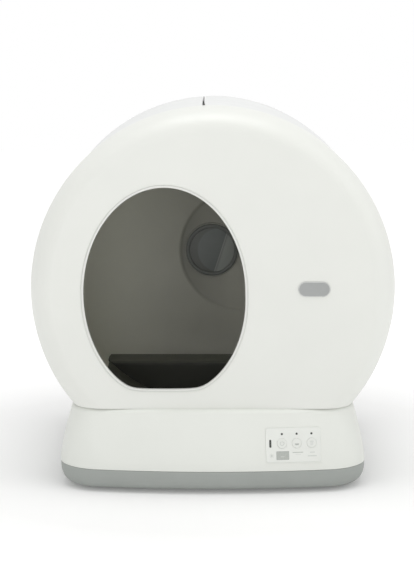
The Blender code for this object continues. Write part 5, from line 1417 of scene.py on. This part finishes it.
@dataclass(frozen=True)
class DrumForm:
    """The bowl's line, shared by the drum and the liner in it."""

    axis: Pair
    inner: float
    front: float
    rear_in: float
    wall: float = 0.0025
    front_round: float = 0.028
    front_depth: float = 0.0245
    rear_round: float = 0.090
    rear_depth: float = 0.075

    @classmethod
    def in_frame(cls) -> "DrumForm":
        """Read the bowl's own sizes from the frame."""
        drum = Extent.of("drum")
        return cls((0.0, drum.centre.z), drum.half.z - cls.wall, drum.low.y + cls.wall,
                   drum.high.y - 2.0 * cls.wall)

    def line(self, grow: float, front_steps: int = 10, rear_steps: int = 26) -> list[Pair]:
        """Run the bowl's line from the lip to the rear wall.

        Formula: quarter ellipses join the front lip, the side and the rear wall.

        Args:
            grow: how far outside the inner side it runs.
            front_steps: cells in the front curve.
            rear_steps: cells in the rear curve.

        Returns:
            Its (radius, y) points.
        """
        start, end = self.front + self.front_depth, self.rear_in - self.rear_depth
        side = self.inner + grow
        line = bend((self.inner - self.front_round, self.front - grow), (side, start), front_steps)
        line += [(side, level) for level in np.linspace(start, end, 14)[1:-1]]
        angle = quarter(rear_steps)
        depth = self.rear_depth + grow + (self.wall if grow > 0.0 else 0.0) * np.sin(angle)
        radius = self.inner - self.rear_round + (self.rear_round + grow) * np.cos(angle)
        return line + np.column_stack([radius, end + depth * np.sin(angle)]).tolist()


@dataclass(frozen=True)
class Drum:
    """The bowl: open in front, softly dished behind, with a hub hole and a waste port."""

    form: DrumForm
    lip: float = 0.0380
    hub: float = 0.046
    dish_shift: float = 0.049
    dish_radius: float = 0.1040
    dish_depth: float = 0.0025
    dish_slope: float = 0.005
    port_angle: float = math.radians(42.0)
    port_half: Pair = (0.055, 0.090)
    port_corner: float = 0.018
    port_shift: float = -0.020
    port_reach: Pair = (-0.037, 0.008)
    steps: int = 240

    def build(self) -> None:
        """Turn the bowl, press the dish into its rear wall and cut the waste port.

        Formula: the dish's depth falls from full to nought over its slope as 3 t squared less 2 t cubed.
        """
        form = self.form
        lip, front, rear = form.inner - self.lip, form.front - form.wall, form.rear_in
        profile = [(lip, front + SOFT), (lip + SOFT, front)] + form.line(form.wall)
        profile += [(self.hub, rear + 2.0 * form.wall), (self.hub, rear)]
        profile += [(reach, rear) for reach in np.linspace(self.hub, form.inner - form.rear_round, 46)[1:-1]]
        profile += form.line(0.0)[::-1] + [(lip, form.front)]
        grid = turned(profile, self.steps, form.axis)
        away = np.hypot(grid[..., 0] - form.axis[0] - self.dish_shift, grid[..., 2] - form.axis[1])
        share = np.clip((self.dish_radius - away) / self.dish_slope, 0.0, 1.0)
        on_wall = np.abs(grid[..., 1] - rear) < 1e-7
        grid[..., 1] += np.where(on_wall, self.dish_depth * share * share * (3.0 - 2.0 * share), 0.0)
        bowl = surface("drum_bowl", grid, round_rows=True)
        sine, cosine = math.sin(self.port_angle), math.cos(self.port_angle)
        place = Plane(Vector((form.axis[0], 0.0, form.axis[1])), Vector((cosine, 0.0, -sine)), Y,
                      Vector((sine, 0.0, cosine)))
        port = rounded(*self.port_half, self.port_corner, 10, (0.0, self.port_shift))
        cut(bowl, place.prism("port_cut", port, *(form.inner + reach for reach in self.port_reach)))
        settle(bowl, Body.DRUM, Slot.DRUM, PALETTE.drum, "drum")


@dataclass(frozen=True)
class Hub:
    """The bearing ring, the fixed spindle and the lens that looks into the drum."""

    form: DrumForm
    steps: int = 120
    edge: float = 0.0005
    bush_wall: float = 0.0021
    bush_edge: float = 0.0003
    seat: float = 0.00275
    flange: float = 0.0025
    lens_edge: float = 0.0004
    lens_crown: float = 0.0008

    def build(self) -> None:
        """Turn the three rings and set the lens between them."""
        bush, spindle, lens = Extent.of("hub_bush"), Extent.of("hub_spindle"), Extent.of("sensor_window")
        outer, inner, soft, edge = bush.half.x, bush.half.x - self.bush_wall, self.bush_edge, self.edge
        front, rear = bush.low.y, bush.high.y
        line = [(inner, front + soft), (inner + soft, front), (outer - soft, front), (outer, front + soft),
                (outer, rear), (inner, rear)]
        settle(self.ring("hub_ring", line), Body.DRUM, Slot.DARK, PALETTE.bush, "hub_bush")
        radius, bore, wide = inner - FIT, lens.half.x + FIT, spindle.half.x
        step, seat = bore - self.seat, lens.high.y + FIT
        front, rear = spindle.low.y, spindle.high.y
        line = [(bore, front + edge), (bore + edge * 0.3, front + edge * 0.3), (bore + edge, front),
                (radius - 2.0 * edge, front), (radius - edge * 0.6, front + edge * 0.6),
                (radius, front + 2.0 * edge), (radius, rear - self.flange), (wide, rear - self.flange),
                (wide, rear), (step, rear), (step, seat), (bore, seat)]
        settle(self.ring("hub_collar", line), Body.BASE, Slot.DARK, PALETTE.collar, "hub_spindle")
        radius, front, rear, soft = lens.half.x, lens.low.y, lens.high.y, self.lens_edge
        line = [(radius, rear), (radius, front + soft), (radius - soft, front)]
        line += [(size, front - self.lens_crown * (1.0 - (size / radius) ** 2))
                 for size in np.linspace(radius - soft, 0.0, 12)[1:]]
        glass = LensGlass(axis=self.form.axis)
        settle(self.ring("hub_lens", line + [(0.0, rear)]), Body.BASE, Slot.LENS, glass, "sensor_window")

    def ring(self, name: str, profile: Sequence[Pair]) -> Piece:
        """Turn a (radius, y) profile about the hub's axis."""
        return surface(name, turned(profile, self.steps, self.form.axis), round_rows=True)


@dataclass(frozen=True)
class Liner:
    """The black litter liner: a well that follows the bowl, a rounded step behind it and a lipped shelf."""

    form: DrumForm
    wall: float = 0.0025
    well_rear: float = 0.088
    shelf_rear: float = 0.146
    lip: float = 0.0010
    lip_run: float = 0.004
    blend: float = 0.004
    drop: float = 0.0018
    step_round: float = 0.0060
    foot_round: float = 0.0120
    front_turn: float = math.radians(60.0)
    columns: int = 120

    def build(self) -> None:
        """Make the visible surface as rows across the bowl and give it its wall below.

        Formula: a row in the well is an arc of the bowl, one on the shelf is level and as wide as the bowl.
        """
        form, gap, back = self.form, FIT + self.wall, self.well_rear
        level = form.axis[1] - Extent.of("litter_liner").high.z + self.lip + self.drop
        side, start, foot = form.inner - gap, form.front + form.front_depth, self.well_rear - self.foot_round
        low, high = self.foot_round / (side - level), 1.0 - self.step_round / (side - level)
        turn, end = np.linspace(self.front_turn, 0.0, 9), self.shelf_rear - self.wall
        edge = np.column_stack([form.inner - form.front_round + (form.front_round - gap) * np.cos(turn),
                                start - (form.front_depth - gap) * np.sin(turn)]).tolist()
        rows = [(radius, along, 0.0, 0.0) for radius, along in edge]
        line = [(along, 0.0) for along in np.linspace(start, foot, 22)[1:]]
        line += bend((foot, 0.0), (back, low), 8)[1:]
        line += [(back, share) for share in np.linspace(low, high, 9)[1:]]
        line += bend((back + self.step_round, 1.0), (back, high), 7)[-2::-1]
        rows += [(side, along, share, 0.0) for along, share in line]
        shelf = [(along, 0.0) for along in np.linspace(back + self.step_round, end - self.lip_run, 12)[1:]]
        shelf += bend((end - self.lip_run, 0.0), (end, self.lip), 5)[1:]
        rows += [(self.bowl(along) - FIT, along, 1.0, lift) for along, lift in shelf]
        sheet = surface("liner_skin", np.stack([self.row(level, *row) for row in rows]), round_columns=False)
        centre = Vector((form.axis[0], 0.0, form.axis[1] + form.inner))
        with edited(sheet) as data:
            data.faces.ensure_lookup_table()
            face = data.faces[len(data.faces) // 3]
            if face.normal.dot(centre - face.calc_center_median()) < 0.0:
                bmesh.ops.reverse_faces(data, faces=data.faces)
        solid = sheet.modifiers.new("wall", "SOLIDIFY")
        solid.thickness = self.wall - 0.0002
        solid.offset = -1.0
        bake(sheet)
        settle(sheet, Body.DRUM, Slot.LINER, PALETTE.liner, "litter_liner")

    def bowl(self, along: float) -> float:
        """Return the bowl's inner radius at a depth."""
        form = self.form
        past = max(along - (form.rear_in - form.rear_depth), 0.0) / form.rear_depth
        return form.inner - form.rear_round + form.rear_round * math.sqrt(max(1.0 - past * past, 0.0))

    def row(self, level: float, radius: float, along: float, share: float, lift: float) -> np.ndarray:
        """Return one row across the bowl, part-way from its arc to the level line.

        Args:
            level: how far the level line lies below the axis.
            radius: the arc's radius.
            along: the row's depth.
            share: nought on the arc, one on the level line.
            lift: how far the row stands above it.

        Returns:
            One line of x, y and z for each point.
        """
        angle = math.acos(min(level / radius, 1.0)) * np.linspace(-1.0, 1.0, self.columns + 1)
        arc, low = -radius * np.cos(angle), -radius + (radius - level) * share
        blend = self.blend * min(share * 8.0, 1.0)
        z = np.maximum(arc, low)
        if blend:
            z = np.minimum(low + (arc - low + np.hypot(arc - low, blend)) / 2.0, -level)
        return np.column_stack([self.form.axis[0] + radius * np.sin(angle), np.full_like(z, along),
                                self.form.axis[1] + z + lift])


# Drawer

@dataclass(frozen=True)
class DrawerFront:
    """The drawer's leaning white panel with a finger slot in it."""

    form: BaseForm
    wall: float = 0.004
    join: float = 0.0162
    corner: float = 0.0015
    grip_half: Pair = (0.040, 0.007)
    grip_rise: float = 0.010
    grip_depth: float = 0.012
    steps: int = 24

    def build(self) -> None:
        """Run the leaning section along the base's side and cut the finger slot."""
        extent, form = Extent.of("drawer_front"), self.form
        low, high = extent.low.z, extent.high.z
        heights = np.linspace(low, high, self.steps + 1)
        outer = np.column_stack([form.half_x - form.lean_at(heights), heights])
        outer[[0, -1], 0] -= SOFT
        first = (outer[:1] + outer[1:2]) / 2.0 + (SOFT / 2.0, 0.0)
        back = np.linspace(high - self.join, low, self.steps // 2)
        inner = np.column_stack([form.half_x - self.wall - form.lean_at(back), back])
        section = [outer[:1], first, outer[1:], [(extent.low.x, high), (extent.low.x, back[0])], inner]
        panel = FRONT.prism("drawer_door", np.concatenate(section), -extent.high.y, -extent.low.y)
        half_y, half_z = self.grip_half
        grip = rounded(half_y, half_z, half_z * 0.9, 10, (extent.centre.y, low + self.grip_rise + half_z))
        cut(panel, RIGHT.prism("grip_cut", grip, form.half_x - self.grip_depth, form.half_x + CLEAR))
        settle(panel, Body.DRAWER, Slot.WHITE, PALETTE.base, "drawer_front")


# Pieces that keep the frame's own form

@dataclass(frozen=True)
class KeptNodes:
    """The working pieces out of sight, which keep their solids and take a finish each."""

    finishes: dict[str, Finish] = field(default_factory=lambda: {
        "foot_": PALETTE.rubber, "load_cell_": PALETTE.aluminium, "supply_board": PALETTE.board,
        "control_board": PALETTE.board, "sensor_board": PALETTE.board, "power_inlet": PALETTE.dark,
        "odour_filter": PALETTE.carbon, "seam_strip": PALETTE.slit, "drum_seal": PALETTE.felt,
        "sieve_grille": PALETTE.drum, "ring_gear": PALETTE.acetal, "drive_pinion": PALETTE.acetal,
        "pinion_shaft": PALETTE.steel, "gearbox": PALETTE.dark, "drive_motor": PALETTE.steel,
        "motor_bracket": PALETTE.steel, "roller_": PALETTE.rubber, "axle_": PALETTE.steel,
        "bracket_": PALETTE.dark, "rear_frame": PALETTE.aluminium, "drawer_tray": PALETTE.dark,
        "rail_": PALETTE.dark})

    def build(self) -> None:
        """Give every node its finish, also the ones that a new piece stands for."""
        for name, node in sorted(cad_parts.items()):
            finish = next((made for start, made in self.finishes.items() if name.startswith(start)),
                          PALETTE.base)
            if not node.material_slots:
                node.data.materials.append(None)
            for slot in node.material_slots:
                slot.material = finish.material()
            log.info("%s wears %s", name, finish.name)


# Studio

@dataclass(frozen=True)
class Studio:
    """The pale floor, the soft lights, the white surround and the camera."""

    camera_place: Triple = (-0.0085, -2.738, 0.691)
    camera_pitch: float = math.radians(81.085)
    lens: float = 110.8
    world: float = 0.615
    floor_colour: Triple = (0.86, 0.86, 0.855)

    def build(self) -> None:
        """Set up the floor, the surround, the lights and the camera."""
        floor = FLOOR.prism("studio_floor", rounded(6.0, 6.0, 2.0, 16), -0.010, 0.0)
        paper = Paper("studio_paper", self.floor_colour, drift=0.004, drift_size=0.8, roughness=0.85,
                      grain_size=0.003, grain_depth=0.00002)
        floor.data.materials.append(paper.material())
        self.add_world()
        self.add_light("side_light", (2.2, -0.7, 1.2), (0.0, 0.0, 0.25), 1.5, 5.0)
        self.add_light("front_light", (-0.5, -3.6, 0.95), (0.0, 0.0, 0.25), 1.3, 11.5)
        self.add_light("top_light", (0.0, -0.4, 2.7), (0.0, -0.1, 0.3), 1.6, 27.0)
        self.add_camera()

    def add_world(self) -> None:
        """Light evenly from all round, and show plain white to the camera and in gloss and glass."""
        world = bpy.data.worlds.new("studio_white")
        bpy.context.scene.world = world
        world.use_nodes = True
        nodes = Nodes(world.node_tree)
        rays = nodes.add("LightPath").outputs
        seen = rays["Is Camera Ray"]
        for kind in ("Is Glossy Ray", "Is Transmission Ray"):
            seen = nodes.step("Math", "MAXIMUM", seen, rays[kind])
        light = nodes.add("Background", Color=(1.0, 1.0, 1.0, 1.0))
        nodes.join(nodes.ranged(seen, self.world, 1.0, 0.0, 1.0), light.inputs["Strength"])
        nodes.join(light.outputs["Background"], nodes.add("OutputWorld").inputs["Surface"])

    def add_light(self, name: str, place: Triple, target: Triple, size: float, power: float) -> None:
        """Hang a soft square light that looks at a point.

        Args:
            name: the light's name.
            place: where it hangs.
            target: where it looks.
            size: its side in metres.
            power: its power in watts.
        """
        data = bpy.data.lights.new(name, "AREA")
        data.size = size
        data.energy = power
        lamp = bpy.data.objects.new(name, data)
        lamp.location = place
        lamp.rotation_euler = (Vector(target) - Vector(place)).to_track_quat("-Z", "Y").to_euler()
        bpy.context.scene.collection.objects.link(lamp)

    def add_camera(self) -> None:
        """Stand the camera where the photograph was taken from."""
        data = bpy.data.cameras.new("photo_camera")
        data.sensor_width = 36.0
        data.sensor_fit = "AUTO"
        data.lens = self.lens
        camera = bpy.data.objects.new("photo_camera", data)
        camera.location = self.camera_place
        camera.rotation_euler = Euler((self.camera_pitch, 0.0, 0.0))
        bpy.context.scene.collection.objects.link(camera)
        bpy.context.scene.camera = camera


# Assembly


def main() -> None:
    """Build the product and its studio."""
    logging.basicConfig(level=logging.INFO, format="%(name)s: %(message)s")
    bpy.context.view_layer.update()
    entrance, base, drum = EntranceCurve.in_frame(), BaseForm.in_frame(), DrumForm.in_frame()
    panel = ControlPanel(base)
    for part in (KeptNodes(), FrontCover(entrance), EntranceRing(entrance), Badge(), *map(RearShell, Side),
                 Housing(base, panel), Pan(base), panel, Drum(drum), Hub(drum), Liner(drum),
                 DrawerFront(base), Studio()):
        part.build()
    bpy.context.scene.view_settings.view_transform = "Standard"
    bpy.context.view_layer.update()


if __name__ == "__main__":
    main()
